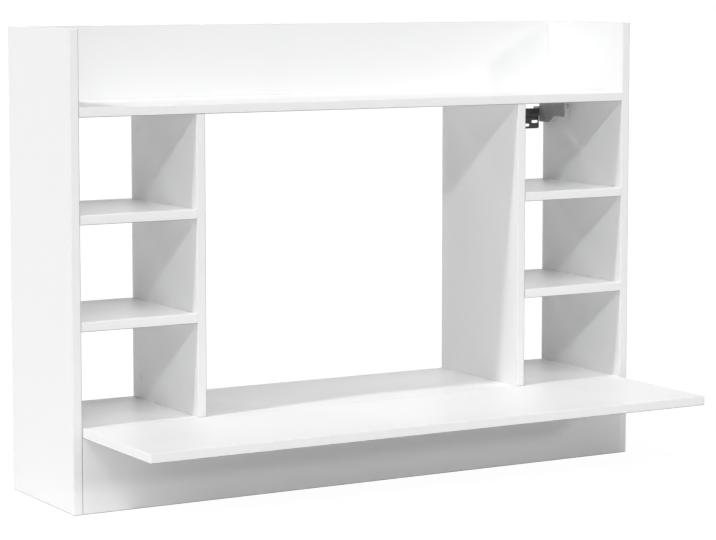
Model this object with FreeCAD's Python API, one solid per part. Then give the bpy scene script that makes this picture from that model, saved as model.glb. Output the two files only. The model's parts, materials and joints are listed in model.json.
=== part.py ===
"""Fold-down wall desk with cubbies, hung on adjustable cabinet hangers.

Frame: X to the right, Y towards the wall, Z up. The origin lies on the wall, midway between
the two wall plates, at the height of their upper screw slots.
"""
import FreeCAD, Part
import math
import os

V = FreeCAD.Vector
X = V(1, 0, 0)
Y = V(0, 1, 0)
Z = V(0, 0, 1)
SIDES = {"left": -1, "right": 1}

# --- driving sizes, in millimetres -------------------------------------------------------
board = 15.0                 # thickness of every board
width = 1050.0               # over the side panels
depth = 240.0                # side panels, front edge to wall
skirt_height = 120.0         # front fascia below the desk board
cubby_height = 150.0         # clear height of one cubby
cubby_width = 200.0          # clear width of one cubby
cubby_rows = 3
rim_height = 120.0           # upper back rail above the top shelf
leaf_reach = 239.5           # leaf, seam to front edge
leaf_seam = 0.5              # gap between desk board and open leaf
leaf_side_gap = 1.0          # leaf short of each side panel's inner face

# knock-down fittings: cam locks, their bolts and dowels
cam_radius = 7.5
cam_bore_depth = 12.5
cam_setback = 34.0           # cam centre to board end
cam_edge = 25.0              # cam centre to the board's long edge
cam_clearance = 0.1
cam_recess = 0.4             # cam below the face it is let into
bolt_past_centre = 1.0       # cam's pocket runs this far past its centre
bolt_grip = 11.0             # bolt thread sunk in the other board
bolt_shank_radius = 3.5
bolt_thread_radius = 2.5
bolt_hole_radius = 4.0
rod_sides = 6                # dowels, bolts and their holes are drawn with this many flats
drum_sides = 10              # cams, caps, screws and the holes for them
dowel_radius = 4.0
dowel_length = 30.0
dowel_sunk = 10.0            # dowel length in the board's face
dowel_clearance = 0.05
edge_dowel = 225.0           # dowels along the long edges, each side of the middle
drill_spare = 0.5            # blind holes run this much past what they hold
over = 1.0                   # cutters start this far outside the face they open
rail_pair = 30.0             # cam and dowel each side of a rail's middle
cap_radius = 8.6
cap_thickness = 0.9

# concealed barrel hinges in the leaf's seam
hinge_count = 4
hinge_inset = 60.0           # outer hinges in from the leaf's ends
barrel_radius = 5.0
barrel_depth = 13.0
barrel_clearance = 0.02
barrel_sides = 12            # corners of a barrel and its bore
slot_sweep = 88.0            # degrees that the links' slot runs each side of the seam
link_inner = 8.3             # crescent links, radii about the seam's top line
link_outer = 10.8
link_sweep = 65.0            # degrees each side of the seam
link_thickness = 1.7
link_count = 3
link_gap = 0.1               # between neighbouring links
link_clearance = 0.3

# hangers inside the top cubbies
steel = 1.2                  # sheet of the casings and carriages
casing_width = 13.0          # off the side panel
casing_length = 79.0
casing_back_gap = 6.0        # casing short of the wall
casing_drop = 1.0            # below the top shelf
casing_front_height = 34.0
casing_rear_height = 45.5
casing_rear_length = 31.0    # deep part at the back
casing_slope_length = 16.0
slope_share = 0.3            # slanting stretch's share of a wall's inset
casing_edge_radius = 1.0
casing_screw_inset = 11.0    # fixing screw behind the casing's front
casing_screw_drop = 28.0     # fixing screw below the casing's top
casing_cup_radius = 5.2
casing_screw_radius = 1.75
casing_screw_head = 3.6
casing_screw_head_height = 2.4
driver_slot_width = 1.0
driver_slot_depth = 1.2
casing_screw_grip = 12.0
spigot_radius = 5.0
spigot_length = 9.0
spigot_rear = 16.0           # rear spigot in from the casing's back
spigot_pitch = 32.0
spigot_tab = 8.0             # tab reaches this far each side of its spigot
spigot_margin = 1.0          # above and below a spigot
screw_inset = 7.5            # adjusting screws off the side panel
screw_radius = 2.5
screw_head_radius = 4.0
screw_neck_radius = 2.1
screw_clearance = 0.06
screw_head = 2.2
screw_collar = 1.2
driver_room = 0.5            # hole for the driver, larger than the screw's head
depth_screw_length = 38.0
depth_screw_drop = 14.0      # depth screw below the casing's top
height_screw_inset = 19.0    # height screw in from the casing's back
height_travel = 5.0          # each way
depth_travel = 8.0           # away from the wall
hook_plate = 3.0
hook_arm_height = 11.0
hook_block_length = 10.0
hook_block_width = 6.8
hook_block_height = 11.0
hook_block_drop = 1.0        # below the arm
arm_slot_width = 6.4         # casing's opening for the arm
running_gap = 0.6            # above and below what slides in the casing
tongue_near = 0.3            # tongue's front face behind the casing
tongue_far = 4.6             # tongue's back face behind the casing
tongue_width = 16.0
tongue_height = 3.5
tongue_drop = 8.5
tongue_lip = 2.0
seat_drop = 22.5             # plate's top edge below the top shelf
carriage_length = 46.0
carriage_rear = 18.0         # deep rear part that holds the height screw
carriage_play = 0.4
carriage_lift = 0.9          # screw head clear of the casing's floor
front_tab_half = 6.0         # front tab each side of the depth screw

# wall plates
plate_sheet = 1.5
plate_length = 60.0
plate_step = 5.5             # lip's front face off the wall
plate_below = 12.3           # lower edge below the upper slot row
plate_above = 24.2           # top edge above the upper slot row
plate_end = 25.0             # plate's outer end in from the side panel's outer face
plate_corner = 3.0
plate_step_low = 9.5         # the step forward starts and ends here above the slot row
plate_step_high = 14.5
plate_step_shift = 0.4       # front face of the step starts this much lower
slot_height = 5.0
slot_length = 14.0
slot_pitch = 18.4
slot_rows = 6.0              # lower row below the upper row
slot_end = 9.0               # outermost slot's centre in from the plate's end
slots_per_plate = 3

# --- sizes that follow -----------------------------------------------------------------
front = -depth
inner = width / 2 - board
cubby_pitch = cubby_height + board
shelf_low = plate_above + seat_drop
shelf_top = shelf_low + board
desk_top = shelf_low - cubby_rows * cubby_pitch + board
desk_low = desk_top - board
bottom = desk_low - skirt_height
top = shelf_top + rim_height
partition_outer = inner - cubby_width
partition_inner = partition_outer - board
leaf_half = inner - leaf_side_gap
seam_y = front - leaf_seam / 2
leaf_rear = front - leaf_seam
leaf_front = leaf_rear - leaf_reach


def box(x0, x1, y0, y1, z0, z1):
    """Box between two corners."""
    return Part.makeBox(abs(x1 - x0), abs(y1 - y0), abs(z1 - z0),
                        V(min(x0, x1), min(y0, y1), min(z0, z1)))


def rod(radius, start, direction, length):
    """Solid cylinder from start along direction."""
    return Part.makeCylinder(radius, length, start, direction)


def prism(radius, start, direction, length, sides):
    """Many-sided rod with its corners on the radius: fittings that stay out of sight."""
    turn = FreeCAD.Rotation(Z, direction)
    points = []
    for i in range(sides + 1):
        angle = 2 * math.pi * (i % sides + 0.5) / sides
        points.append(start + turn.multVec(V(radius * math.cos(angle), radius * math.sin(angle), 0)))
    return Part.Face(Part.makePolygon(points)).extrude(direction * length)


def stepped(steps, sides):
    """Stepped rod along +Z from the origin: (radius, length) steps one after another."""
    along = 0.0
    pieces = []
    for radius, length in steps:
        pieces.append(prism(radius, V(0, 0, along), Z, length, sides))
        along += length
    return pieces[0].multiFuse(pieces[1:]).removeSplitter()


def slotted(screw, radius):
    """The turned screw with a driver slot across the end at its origin."""
    half = driver_slot_width / 2
    return screw.cut(box(-radius, radius, -half, half, 0, driver_slot_depth))


def aimed(shape, start, direction):
    """A piece drawn along +Z, put at start along direction."""
    shape.Placement = FreeCAD.Placement(start, FreeCAD.Rotation(Z, direction))
    return shape


def mirrored(shape, side):
    """The right-hand shape, or its mirror image for the left."""
    return shape if side > 0 else shape.mirror(V(0, 0, 0), X)


def placed(shape, origin, into, face):
    """A fitting drawn along +X with its face towards +Z, put at origin."""
    across = face.cross(into)
    matrix = FreeCAD.Matrix(into.x, across.x, face.x, origin.x,
                            into.y, across.y, face.y, origin.y,
                            into.z, across.z, face.z, origin.z,
                            0, 0, 0, 1)
    copy = shape.copy()
    copy.Placement = FreeCAD.Placement(matrix).multiply(copy.Placement)
    return copy


# --- knock-down fittings, drawn along +X from the joint, cam face towards +Z --------------
def cam_lock():
    """Cam housing with the pocket that takes the bolt's end."""
    base = board / 2 - cam_bore_depth + cam_clearance
    height = cam_bore_depth - cam_clearance - cam_recess
    cam = prism(cam_radius - cam_clearance, V(cam_setback, 0, base), Z, height, drum_sides)
    reach = cam_radius + bolt_past_centre
    return cam.cut(prism(bolt_hole_radius, V(cam_setback - cam_radius, 0, 0), X, reach, rod_sides))


def cam_bolt():
    """Bolt: thread in the other board, shank into the cam."""
    thread = prism(bolt_thread_radius, V(-bolt_grip, 0, 0), X, bolt_grip, rod_sides)
    return thread.fuse(prism(bolt_shank_radius, V(0, 0, 0), X, cam_setback, rod_sides))


def cam_cap():
    """Thin cover pressed over a cam."""
    return prism(cap_radius, V(cam_setback, 0, board / 2), Z, cap_thickness, drum_sides)


def cam_bores():
    """What a cam joint removes from the board it is let into."""
    bore = prism(cam_radius, V(cam_setback, 0, board / 2 - cam_bore_depth), Z, cam_bore_depth,
                 drum_sides)
    return bore.fuse(prism(bolt_hole_radius, V(0, 0, 0), X, cam_setback, rod_sides))


def bolt_hole():
    """What a cam joint removes from the board that takes the bolt's thread."""
    depth_in = bolt_grip + drill_spare
    return prism(bolt_thread_radius + dowel_clearance, V(-depth_in, 0, 0), X, depth_in, rod_sides)


def dowel():
    """Straight dowel across a joint."""
    return prism(dowel_radius, V(-dowel_sunk, 0, 0), X, dowel_length, rod_sides)


def dowel_hole_in_face():
    """Dowel hole in the board that the other butts against."""
    depth_in = dowel_sunk + drill_spare
    return prism(dowel_radius + dowel_clearance, V(-depth_in, 0, 0), X, depth_in, rod_sides)


def dowel_hole_in_end():
    """Dowel hole in the butting board's end."""
    return prism(dowel_radius + dowel_clearance, V(0, 0, 0), X,
                 dowel_length - dowel_sunk + drill_spare, rod_sides)


class Joinery:
    """All board joints: pieces to export, and the holes that each board needs."""

    def __init__(self):
        self.cams = []
        self.bolts = []
        self.caps = []
        self.dowels = []
        self.holes = {}

    def drill(self, name, hole):
        """Note a hole for the named board."""
        self.holes.setdefault(name, []).append(hole)

    def cam(self, end_board, face_board, origin, into, face, capped):
        """One cam joint between the end of end_board and the face of face_board."""
        self.cams.append(placed(cam_lock(), origin, into, face))
        self.bolts.append(placed(cam_bolt(), origin, into, face))
        if capped:
            self.caps.append(placed(cam_cap(), origin, into, face))
        self.drill(end_board, placed(cam_bores(), origin, into, face))
        self.drill(face_board, placed(bolt_hole(), origin, into, face))

    def peg(self, end_board, face_board, origin, into, face):
        """One dowel joint."""
        self.dowels.append(placed(dowel(), origin, into, face))
        self.drill(end_board, placed(dowel_hole_in_end(), origin, into, face))
        self.drill(face_board, placed(dowel_hole_in_face(), origin, into, face))


def join_deep_board(joints, name, panel, z_mid, side, capped):
    """Top shelf or desk board to a side panel: a cam near each edge and a dowel between."""
    into = X * -side
    for y in (front + cam_edge, -cam_edge):
        joints.cam(name, panel, V(side * inner, y, z_mid), into, -Z, capped)
    joints.peg(name, panel, V(side * inner, front / 2, z_mid), into, -Z)


def join_rail(joints, name, panel, y_mid, z_mid, side):
    """Upright rail to a side panel: a cam above a dowel."""
    into = X * -side
    joints.cam(name, panel, V(side * inner, y_mid, z_mid + rail_pair), into, Y, False)
    joints.peg(name, panel, V(side * inner, y_mid, z_mid - rail_pair), into, Y)


def join_partition(joints, name, side):
    """Partition to desk board and top shelf: two cams and a dowel at each end."""
    x_mid = side * (partition_inner + board / 2)
    ends = ((desk_top, Z, "desk_board"), (shelf_low, -Z, "top_shelf"))
    for z, into, other in ends:
        for y in (front + cam_edge, -cam_edge):
            joints.cam(name, other, V(x_mid, y, z), into, X * side, True)
        joints.peg(name, other, V(x_mid, front / 2, z), into, X * side)


def join_cubby_shelf(joints, name, panel, partition, z_mid, side):
    """Cubby shelf: two dowels at each end."""
    ends = ((inner, X * -side, panel), (partition_outer, X * side, partition))
    for x, into, other in ends:
        for y in (front + cam_edge, -cam_edge):
            joints.peg(name, other, V(side * x, y, z_mid), into, -Z)


def cubby_shelf_levels():
    """Underside height of each loose cubby shelf, by name."""
    names = ["lower", "upper", "third", "fourth"]
    return {names[row]: desk_top + row * cubby_pitch + cubby_height
            for row in range(cubby_rows - 1)}


def all_joints():
    """Every cam and dowel of the carcass."""
    joints = Joinery()
    for word, side in SIDES.items():
        panel = "side_panel_" + word
        partition = "partition_" + word
        join_deep_board(joints, "top_shelf", panel, shelf_low + board / 2, side, True)
        join_deep_board(joints, "desk_board", panel, desk_low + board / 2, side, False)
        join_rail(joints, "upper_back_rail", panel, -board / 2, shelf_top + rim_height / 2, side)
        join_rail(joints, "front_fascia", panel, front + board / 2, bottom + skirt_height / 2, side)
        join_partition(joints, partition, side)
        for level, z in cubby_shelf_levels().items():
            name = "cubby_shelf_" + level + "_" + word
            join_cubby_shelf(joints, name, panel, partition, z + board / 2, side)
    # long edges: fascia under the desk board and rail on the top shelf
    for x in (-edge_dowel, edge_dowel):
        joints.peg("front_fascia", "desk_board", V(x, front + board / 2, desk_low), -Z, Y)
        joints.peg("upper_back_rail", "top_shelf", V(x, -board / 2, shelf_top), Z, Y)
    return joints


# --- barrel hinges -----------------------------------------------------------------------
def hinge_places():
    """X of each hinge along the seam."""
    end = leaf_half - hinge_inset
    return [-end + 2 * end * i / (hinge_count - 1) for i in range(hinge_count)]


def ring_sector(inner_radius, outer_radius, sweep, x, thickness):
    """Crescent plate about the seam's top line, hanging below it, centred at x."""
    def at(radius, degrees):
        angle = math.radians(degrees)
        return V(x - thickness / 2, seam_y + radius * math.sin(angle),
                 desk_top - radius * math.cos(angle))

    outer = Part.Arc(at(outer_radius, -sweep), at(outer_radius, 0), at(outer_radius, sweep))
    far_end = Part.LineSegment(at(outer_radius, sweep), at(inner_radius, sweep))
    back = Part.Arc(at(inner_radius, sweep), at(inner_radius, 0), at(inner_radius, -sweep))
    near_end = Part.LineSegment(at(inner_radius, -sweep), at(outer_radius, -sweep))
    wire = Part.Wire([curve.toShape() for curve in (outer, far_end, back, near_end)])
    return Part.Face(wire).extrude(X * thickness)


def link_pack(x):
    """The crescent links of one hinge, side by side."""
    pitch = link_thickness + link_gap
    first = x - pitch * (link_count - 1) / 2
    return [ring_sector(link_inner, link_outer, link_sweep, first + i * pitch, link_thickness)
            for i in range(link_count)]


def link_slot(x):
    """Slot that the links turn in."""
    pack = link_count * link_thickness + (link_count - 1) * link_gap + 2 * link_clearance
    return ring_sector(link_inner - link_clearance, link_outer + link_clearance, slot_sweep, x, pack)


def hinge_barrel(x, face_y, direction):
    """Slotted barrel let into a board's edge at face_y, pointing along direction."""
    centre = V(x, face_y, desk_top - board / 2)
    barrel = prism(barrel_radius, centre, direction, barrel_depth, barrel_sides)
    return barrel.cut(link_slot(x))


def hinge_bore(x, face_y, direction):
    """Blind bore for a barrel."""
    centre = V(x, face_y, desk_top - board / 2)
    return prism(barrel_radius + barrel_clearance, centre, direction, barrel_depth + drill_spare,
                 barrel_sides)


# --- boards -----------------------------------------------------------------------------
def plain_boards():
    """Every carcass board before it is drilled."""
    boards = {
        "top_shelf": box(-inner, inner, front, 0, shelf_low, shelf_top),
        "desk_board": box(-inner, inner, front, 0, desk_low, desk_top),
        "upper_back_rail": box(-inner, inner, -board, 0, shelf_top, top),
        "front_fascia": box(-inner, inner, front, front + board, bottom, desk_low),
    }
    for word, side in SIDES.items():
        boards["side_panel_" + word] = box(side * inner, side * width / 2, front, 0, bottom, top)
        boards["partition_" + word] = box(side * partition_inner, side * partition_outer,
                                          front, 0, desk_top, shelf_low)
        for level, z in cubby_shelf_levels().items():
            boards["cubby_shelf_" + level + "_" + word] = box(
                side * partition_outer, side * inner, front, 0, z, z + board)
    return boards


def drop_leaf():
    """Leaf with its barrel bores."""
    leaf = box(-leaf_half, leaf_half, leaf_front, leaf_rear, desk_low, desk_top)
    bores = [hinge_bore(x, leaf_rear, -Y) for x in hinge_places()]
    return leaf.cut(Part.makeCompound(bores))


# --- hangers, drawn for the right side -----------------------------------------------------
casing_front = -casing_back_gap - casing_length
casing_top = shelf_low - casing_drop
casing_face = inner - casing_width
screw_x = inner - screw_inset
depth_screw_z = casing_top - depth_screw_drop
height_screw_y = -casing_back_gap - height_screw_inset
carriage_front = height_screw_y + carriage_rear / 2 - carriage_length
hook_top = plate_above + tongue_height
hook_low = hook_top - hook_arm_height
tongue_back = -casing_back_gap + tongue_far
tongue_front = -casing_back_gap + tongue_near


def casing_outline(inset):
    """Side view of the casing, shrunk by inset."""
    rear = -casing_back_gap - inset
    step = casing_rear_length - inset * slope_share
    low = casing_top - casing_rear_height + inset
    high = casing_top - casing_front_height + inset
    points = [
        (casing_front + inset, casing_top - inset),
        (rear, casing_top - inset),
        (rear, low),
        (rear - step + inset, low),
        (rear - step - casing_slope_length + inset, high),
        (casing_front + inset, high),
    ]
    return [V(0, y, z) for y, z in points]


def casing_prism(inset, x0, x1):
    """Prism of the casing's side view."""
    points = [V(x0, p.y, p.z) for p in casing_outline(inset)]
    face = Part.Face(Part.makePolygon(points + [points[0]]))
    return face.extrude(X * (x1 - x0))


def casing_screw_place():
    """Fixing screw's place on the side panel's face."""
    return V(inner, casing_front + casing_screw_inset, casing_top - casing_screw_drop)


def spigot_places():
    """The two spigots that locate the casing in the side panel."""
    z = casing_top - steel - spigot_radius - spigot_margin
    rear = -casing_back_gap - spigot_rear
    return [V(inner, rear, z), V(inner, rear - spigot_pitch, z)]


def hanger_casing():
    """Pressed steel shell, open towards the side panel, with its screw cup and spigots."""
    outer = casing_prism(0, casing_face, inner)
    rim = [e for e in outer.Edges
           if all(abs(v.X - casing_face) < 1e-6 for v in e.Vertexes)]
    outer = outer.makeFillet(casing_edge_radius, rim)
    shell = outer.cut(casing_prism(steel, casing_face + steel, inner + over))
    place = casing_screw_place()
    cup_start = V(casing_face, place.y, place.z)
    cup = rod(casing_cup_radius, cup_start, X, casing_width)
    well = rod(casing_cup_radius - steel, cup_start, X, casing_width - steel)
    hole = prism(casing_screw_radius + screw_clearance, cup_start, X, casing_width, drum_sides)
    shell = shell.fuse(cup).cut(well).cut(hole)
    for spot in spigot_places():
        tab = box(inner - steel, inner, spot.y - spigot_tab, spot.y + spigot_tab,
                  spot.z - spigot_radius - spigot_margin, casing_top - steel / 2)
        shell = shell.fuse(tab).fuse(prism(spigot_radius, spot, X, spigot_length, drum_sides))
    arm_play = height_travel + running_gap
    rear_slot = box(screw_x - arm_slot_width / 2, screw_x + arm_slot_width / 2,
                    -casing_back_gap - 2 * steel, over - casing_back_gap,
                    hook_low - arm_play, hook_top + arm_play)
    neck_hole = prism(screw_neck_radius + screw_clearance,
                      V(screw_x, casing_front - over, depth_screw_z), Y, steel + 2 * over, drum_sides)
    floor = casing_top - casing_rear_height
    driver_radius = screw_head_radius + driver_room
    driver_hole = prism(driver_radius, V(screw_x, height_screw_y, floor - over), Z,
                        steel + 2 * over, drum_sides)
    driver_slot = box(screw_x - driver_radius, screw_x + driver_radius,
                      height_screw_y, height_screw_y + depth_travel, floor - over, floor + steel)
    return shell.cut(rear_slot).cut(neck_hole).cut(driver_hole).cut(driver_slot).removeSplitter()


def casing_screw():
    """Pan-head screw through the cup into the side panel."""
    place = casing_screw_place()
    start = V(place.x - steel - casing_screw_head_height, place.y, place.z)
    steps = [(casing_screw_head, casing_screw_head_height),
             (casing_screw_radius, steel + casing_screw_grip)]
    return aimed(slotted(stepped(steps, drum_sides), casing_screw_head), start, X)


def captive_screw(start, direction, wall, length):
    """Adjusting screw held in a sheet by its neck, with its slotted head outside."""
    steps = [(screw_head_radius, screw_head), (screw_neck_radius, wall + 2 * screw_clearance),
             (screw_head_radius, screw_collar), (screw_radius, length)]
    head_start = start - direction * (screw_head + screw_clearance)
    screw = slotted(stepped(steps, drum_sides), screw_head_radius)
    return aimed(screw, head_start, direction)


def depth_screw():
    """Screw along Y, captive in the casing's front wall."""
    return captive_screw(V(screw_x, casing_front, depth_screw_z), Y, steel, depth_screw_length)


def carriage_low():
    """Underside of the carriage's lower tab."""
    return casing_top - casing_rear_height + steel + screw_head + carriage_lift


def height_screw():
    """Screw along Z, captive in the carriage's lower tab."""
    length = casing_top - 4 * steel - screw_collar - carriage_low()
    return captive_screw(V(screw_x, height_screw_y, carriage_low()), Z, steel, length)


def hanger_carriage():
    """Folded carriage that slides along the casing: web, front tab, lower and upper tabs."""
    web_x = screw_x + screw_head_radius + carriage_play
    tab_x = screw_x - screw_head_radius + carriage_play
    rear = carriage_front + carriage_length
    deep = rear - carriage_rear
    low = carriage_low()
    high = casing_top - 2 * steel - running_gap
    web = box(web_x, web_x + steel, carriage_front, rear, depth_screw_z - front_tab_half, high)
    web = web.fuse(box(web_x, web_x + steel, deep, rear, low, high))
    front_tab = box(tab_x, web_x + steel, carriage_front, carriage_front + steel,
                    depth_screw_z - front_tab_half, depth_screw_z + front_tab_half)
    low_tab = box(tab_x, web_x + steel, deep, rear, low, low + steel)
    top_tab = box(tab_x, web_x + steel, deep, rear, high - steel, high)
    thread = prism(screw_radius + screw_clearance,
                   V(screw_x, carriage_front - over, depth_screw_z), Y, steel + 2 * over, drum_sides)
    neck = prism(screw_neck_radius + screw_clearance, V(screw_x, height_screw_y, low - over), Z,
                 steel + 2 * over, drum_sides)
    tip = prism(screw_radius + screw_clearance, V(screw_x, height_screw_y, high - 2 * steel), Z,
                3 * steel, drum_sides)
    body = web.fuse(front_tab).fuse(low_tab).fuse(top_tab)
    return body.cut(thread).cut(neck).cut(tip).removeSplitter()


def hanger_hook():
    """Hook: threaded block on the height screw, arm through the casing, tongue over the lip."""
    block_z = hook_low - hook_block_drop
    block = box(screw_x - hook_block_width / 2, screw_x + hook_block_width / 2,
                height_screw_y - hook_block_length / 2, height_screw_y + hook_block_length / 2,
                block_z, block_z + hook_block_height)
    arm = box(screw_x - hook_plate / 2, screw_x + hook_plate / 2, height_screw_y,
              tongue_back, hook_low, hook_top)
    tongue_x = screw_x + hook_plate / 2 - tongue_width
    tongue = box(tongue_x, screw_x + hook_plate / 2, tongue_front, tongue_back,
                 plate_above, hook_top)
    lip = box(tongue_x, screw_x + hook_plate / 2, tongue_back - tongue_lip, tongue_back,
              plate_above - tongue_drop, hook_top)
    clear_plate = box(tongue_x - over, screw_x + hook_plate / 2 + over, tongue_front,
                      tongue_back - tongue_lip, plate_above - tongue_drop - over, plate_above)
    thread = prism(screw_radius + screw_clearance, V(screw_x, height_screw_y, block_z - over), Z,
                   hook_block_height + 2 * over, drum_sides)
    body = block.fuse(arm).cut(clear_plate).fuse(tongue).fuse(lip).cut(thread)
    return body.removeSplitter()


def slot_centres():
    """Slot centres of the right-hand plate as (x, z): alternately upper and lower."""
    first = width / 2 - plate_end - slot_end
    return [(first - i * slot_pitch, 0.0 if i % 2 == 0 else -slot_rows)
            for i in range(slots_per_plate)]


def wall_slot(x, z):
    """Cutter for one round-ended slot."""
    radius = slot_height / 2
    half = slot_length / 2 - radius
    middle = box(x - half, x + half, -plate_step, over, z - radius, z + radius)
    ends = [rod(radius, V(x + end, -plate_step, z), Y, plate_step + over) for end in (-half, half)]
    return middle.fuse(ends[0]).fuse(ends[1])


def wall_plate():
    """Folded plate: flat on the wall below, stepped forward into the lip above."""
    x1 = width / 2 - plate_end
    x0 = x1 - plate_length
    lip_back = plate_sheet - plate_step
    points = [
        (0, -plate_below), (0, plate_step_low), (lip_back, plate_step_high), (lip_back, plate_above),
        (-plate_step, plate_above), (-plate_step, plate_step_high - plate_step_shift),
        (-plate_sheet, plate_step_low - plate_step_shift), (-plate_sheet, -plate_below),
    ]
    outline = [V(x0, y, z) for y, z in points]
    face = Part.Face(Part.makePolygon(outline + [outline[0]]))
    plate = face.extrude(X * plate_length)
    corners = [e for e in plate.Edges
               if all(abs(v.Z + plate_below) < 1e-6 for v in e.Vertexes)
               and abs(e.Vertexes[0].Y - e.Vertexes[-1].Y) > 1e-6]
    plate = plate.makeFillet(plate_corner, corners)
    for x, z in slot_centres():
        plate = plate.cut(wall_slot(x, z))
    return plate


# --- assembly -----------------------------------------------------------------------------
def write(name, shapes):
    """Write one node: a single solid or a group of separate solids."""
    shape = shapes if isinstance(shapes, Part.Shape) else Part.makeCompound(shapes)
    shape.exportStep("parts/" + name + ".step")


def main():
    os.makedirs("parts", exist_ok=True)
    joints = all_joints()
    boards = plain_boards()
    for x in hinge_places():
        joints.drill("desk_board", hinge_bore(x, front, Y))
    for word, side in SIDES.items():
        panel = "side_panel_" + word
        place = casing_screw_place()
        joints.drill(panel, mirrored(prism(casing_screw_radius + screw_clearance, place, X,
                                           casing_screw_grip + drill_spare, drum_sides), side))
        for spot in spigot_places():
            joints.drill(panel, mirrored(prism(spigot_radius + dowel_clearance, spot, X,
                                               spigot_length + drill_spare, drum_sides), side))
    for name, shape in boards.items():
        write(name, shape.cut(Part.makeCompound(joints.holes[name])))
    write("cam_locks", joints.cams)
    write("cam_bolts", joints.bolts)
    write("cam_cover_caps", joints.caps)
    write("dowels", joints.dowels)
    write("drop_leaf", drop_leaf())
    write("desk_hinge_barrels", [hinge_barrel(x, front, Y) for x in hinge_places()])
    write("leaf_hinge_barrels", [hinge_barrel(x, leaf_rear, -Y) for x in hinge_places()])
    write("hinge_links", [link for x in hinge_places() for link in link_pack(x)])
    for word, side in SIDES.items():
        write("hanger_casing_" + word, mirrored(hanger_casing(), side))
        write("hanger_carriage_" + word, mirrored(hanger_carriage(), side))
        write("hanger_hook_" + word, mirrored(hanger_hook(), side))
        write("wall_plate_" + word, mirrored(wall_plate(), side))
    both = list(SIDES.values())
    write("casing_screws", [mirrored(casing_screw(), side) for side in both])
    write("depth_screws", [mirrored(depth_screw(), side) for side in both])
    write("height_screws", [mirrored(height_screw(), side) for side in both])


main()
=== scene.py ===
"""Dresses the fold-down wall desk: banded boards, joinery fittings, hangers and a plain studio."""
import functools
import json
import math
from collections import namedtuple

import bmesh
import bpy
from bpy.props import FloatProperty, FloatVectorProperty, IntProperty, PointerProperty
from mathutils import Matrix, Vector


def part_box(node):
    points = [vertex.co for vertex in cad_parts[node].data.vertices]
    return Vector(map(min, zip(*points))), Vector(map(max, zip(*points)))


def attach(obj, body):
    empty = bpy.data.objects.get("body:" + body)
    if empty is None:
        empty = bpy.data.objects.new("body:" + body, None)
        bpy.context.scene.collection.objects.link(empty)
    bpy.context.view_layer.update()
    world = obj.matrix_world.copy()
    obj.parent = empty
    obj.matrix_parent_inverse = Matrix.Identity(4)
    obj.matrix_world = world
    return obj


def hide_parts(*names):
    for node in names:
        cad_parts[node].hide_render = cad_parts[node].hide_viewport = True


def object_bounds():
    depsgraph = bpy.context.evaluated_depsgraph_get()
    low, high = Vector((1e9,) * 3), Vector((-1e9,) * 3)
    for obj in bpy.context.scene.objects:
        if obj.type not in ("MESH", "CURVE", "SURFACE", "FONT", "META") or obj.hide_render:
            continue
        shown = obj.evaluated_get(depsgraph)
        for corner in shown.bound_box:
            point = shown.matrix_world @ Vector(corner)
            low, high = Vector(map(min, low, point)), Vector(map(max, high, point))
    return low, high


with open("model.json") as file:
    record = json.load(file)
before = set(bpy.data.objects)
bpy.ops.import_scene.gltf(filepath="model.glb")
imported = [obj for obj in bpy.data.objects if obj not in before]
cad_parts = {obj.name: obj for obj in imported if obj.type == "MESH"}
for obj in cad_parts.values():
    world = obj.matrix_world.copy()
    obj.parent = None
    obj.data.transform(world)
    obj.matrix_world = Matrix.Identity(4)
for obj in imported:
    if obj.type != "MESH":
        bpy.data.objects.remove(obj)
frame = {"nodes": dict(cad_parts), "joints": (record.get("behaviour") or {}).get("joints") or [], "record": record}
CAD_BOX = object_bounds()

bl_info = {
    "name": "Wall desk",
    "version": (1, 0, 0),
    "blender": (4, 5, 0),
    "location": "View3D > Sidebar > Desk",
    "description": "Builds the finished look of a fold-down wall desk around its frame",
    "category": "Object",
}

AXES = (Vector((1, 0, 0)), Vector((0, 1, 0)), Vector((0, 0, 1)))
WELD = 1e-6                     # corners of a CAD mesh nearer than this are one, in metres
TOUCH = 1e-7                    # a corner nearer than this to a board's side lies on it
OVER = 0.001                    # cutters reach this far past what they cut
POINTED = 0.00001               # length of the disc that a turned form without a drum grows from
SIDES = {"left": -1, "right": 1}
STRAIGHT = math.radians(88)     # half the angle at a corner too blunt to round
BEND_STEPS = 5                  # faces round a bend or a rounded corner

LINKS_IN_SLOT = 3               # crescent links side by side in a hinge's slot
LINK_PLAY = 0.0003              # slot deeper than the links that turn in it, on each side
SLOT_PLAY = 0.0008              # slot wider than the links in it
BOLT_TURNS = 5                  # rings of a cam bolt's thread
BARREL_RIDGES = 4               # ridges round a hinge barrel
SCREW_SIDES = 24                # faces round a hanger's screw

FLOOR_REACH = 40.0              # half the side of the floor
SENSOR_WIDTH = 36.0             # millimetres

# Lamps: name, azimuth left of the front, elevation, softness (degrees) and strength.
LAMPS = (
    ("front_lamp", 0, 62, 20, 0.45),
    ("narrow_front_lamp", 0, 50, 6, 0.17),
    ("high_left_lamp", 80, 56, 3, 1.17),
    ("rear_left_lamp", 105, 56, 8, 0.13),
    ("wide_left_lamp", 60, 50, 25, 0.16),
    ("soft_left_lamp", 60, 30, 25, 0.10),
    ("low_left_lamp", 90, 5, 5, 0.43),
    ("high_right_lamp", -90, 62, 8, 0.20),
    ("low_front_lamp", -15, 20, 15, 0.20),
    ("low_right_lamp", -30, 16, 5, 0.36),
    ("back_lamp", 150, 30, 8, 0.30),
)
# A long level strip of light in front, as a row of lamps at these azimuths and strengths. Seen
# along X all of them stand at one slope, so that they share the shadow lines of the shelves.
STRIP_LAMPS = ((6, 0.05), (14, 0.09), (22, 0.13), (30, 0.15), (38, 0.13), (46, 0.11), (54, 0.08),
               (62, 0.06))
STRIP_SLOPE = 0.77              # rise for each metre towards the front
STRIP_SOFTNESS = 4              # degrees

FACE, BAND, GLUE = 0, 1, 2      # places of the finishes on a board
# A rounded band corner that leans right, down or back past AWAY gets painted shade: darker, and without gloss.
AWAY = 0.1                      # a corner looks a way when its normal leans this far there

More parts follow.
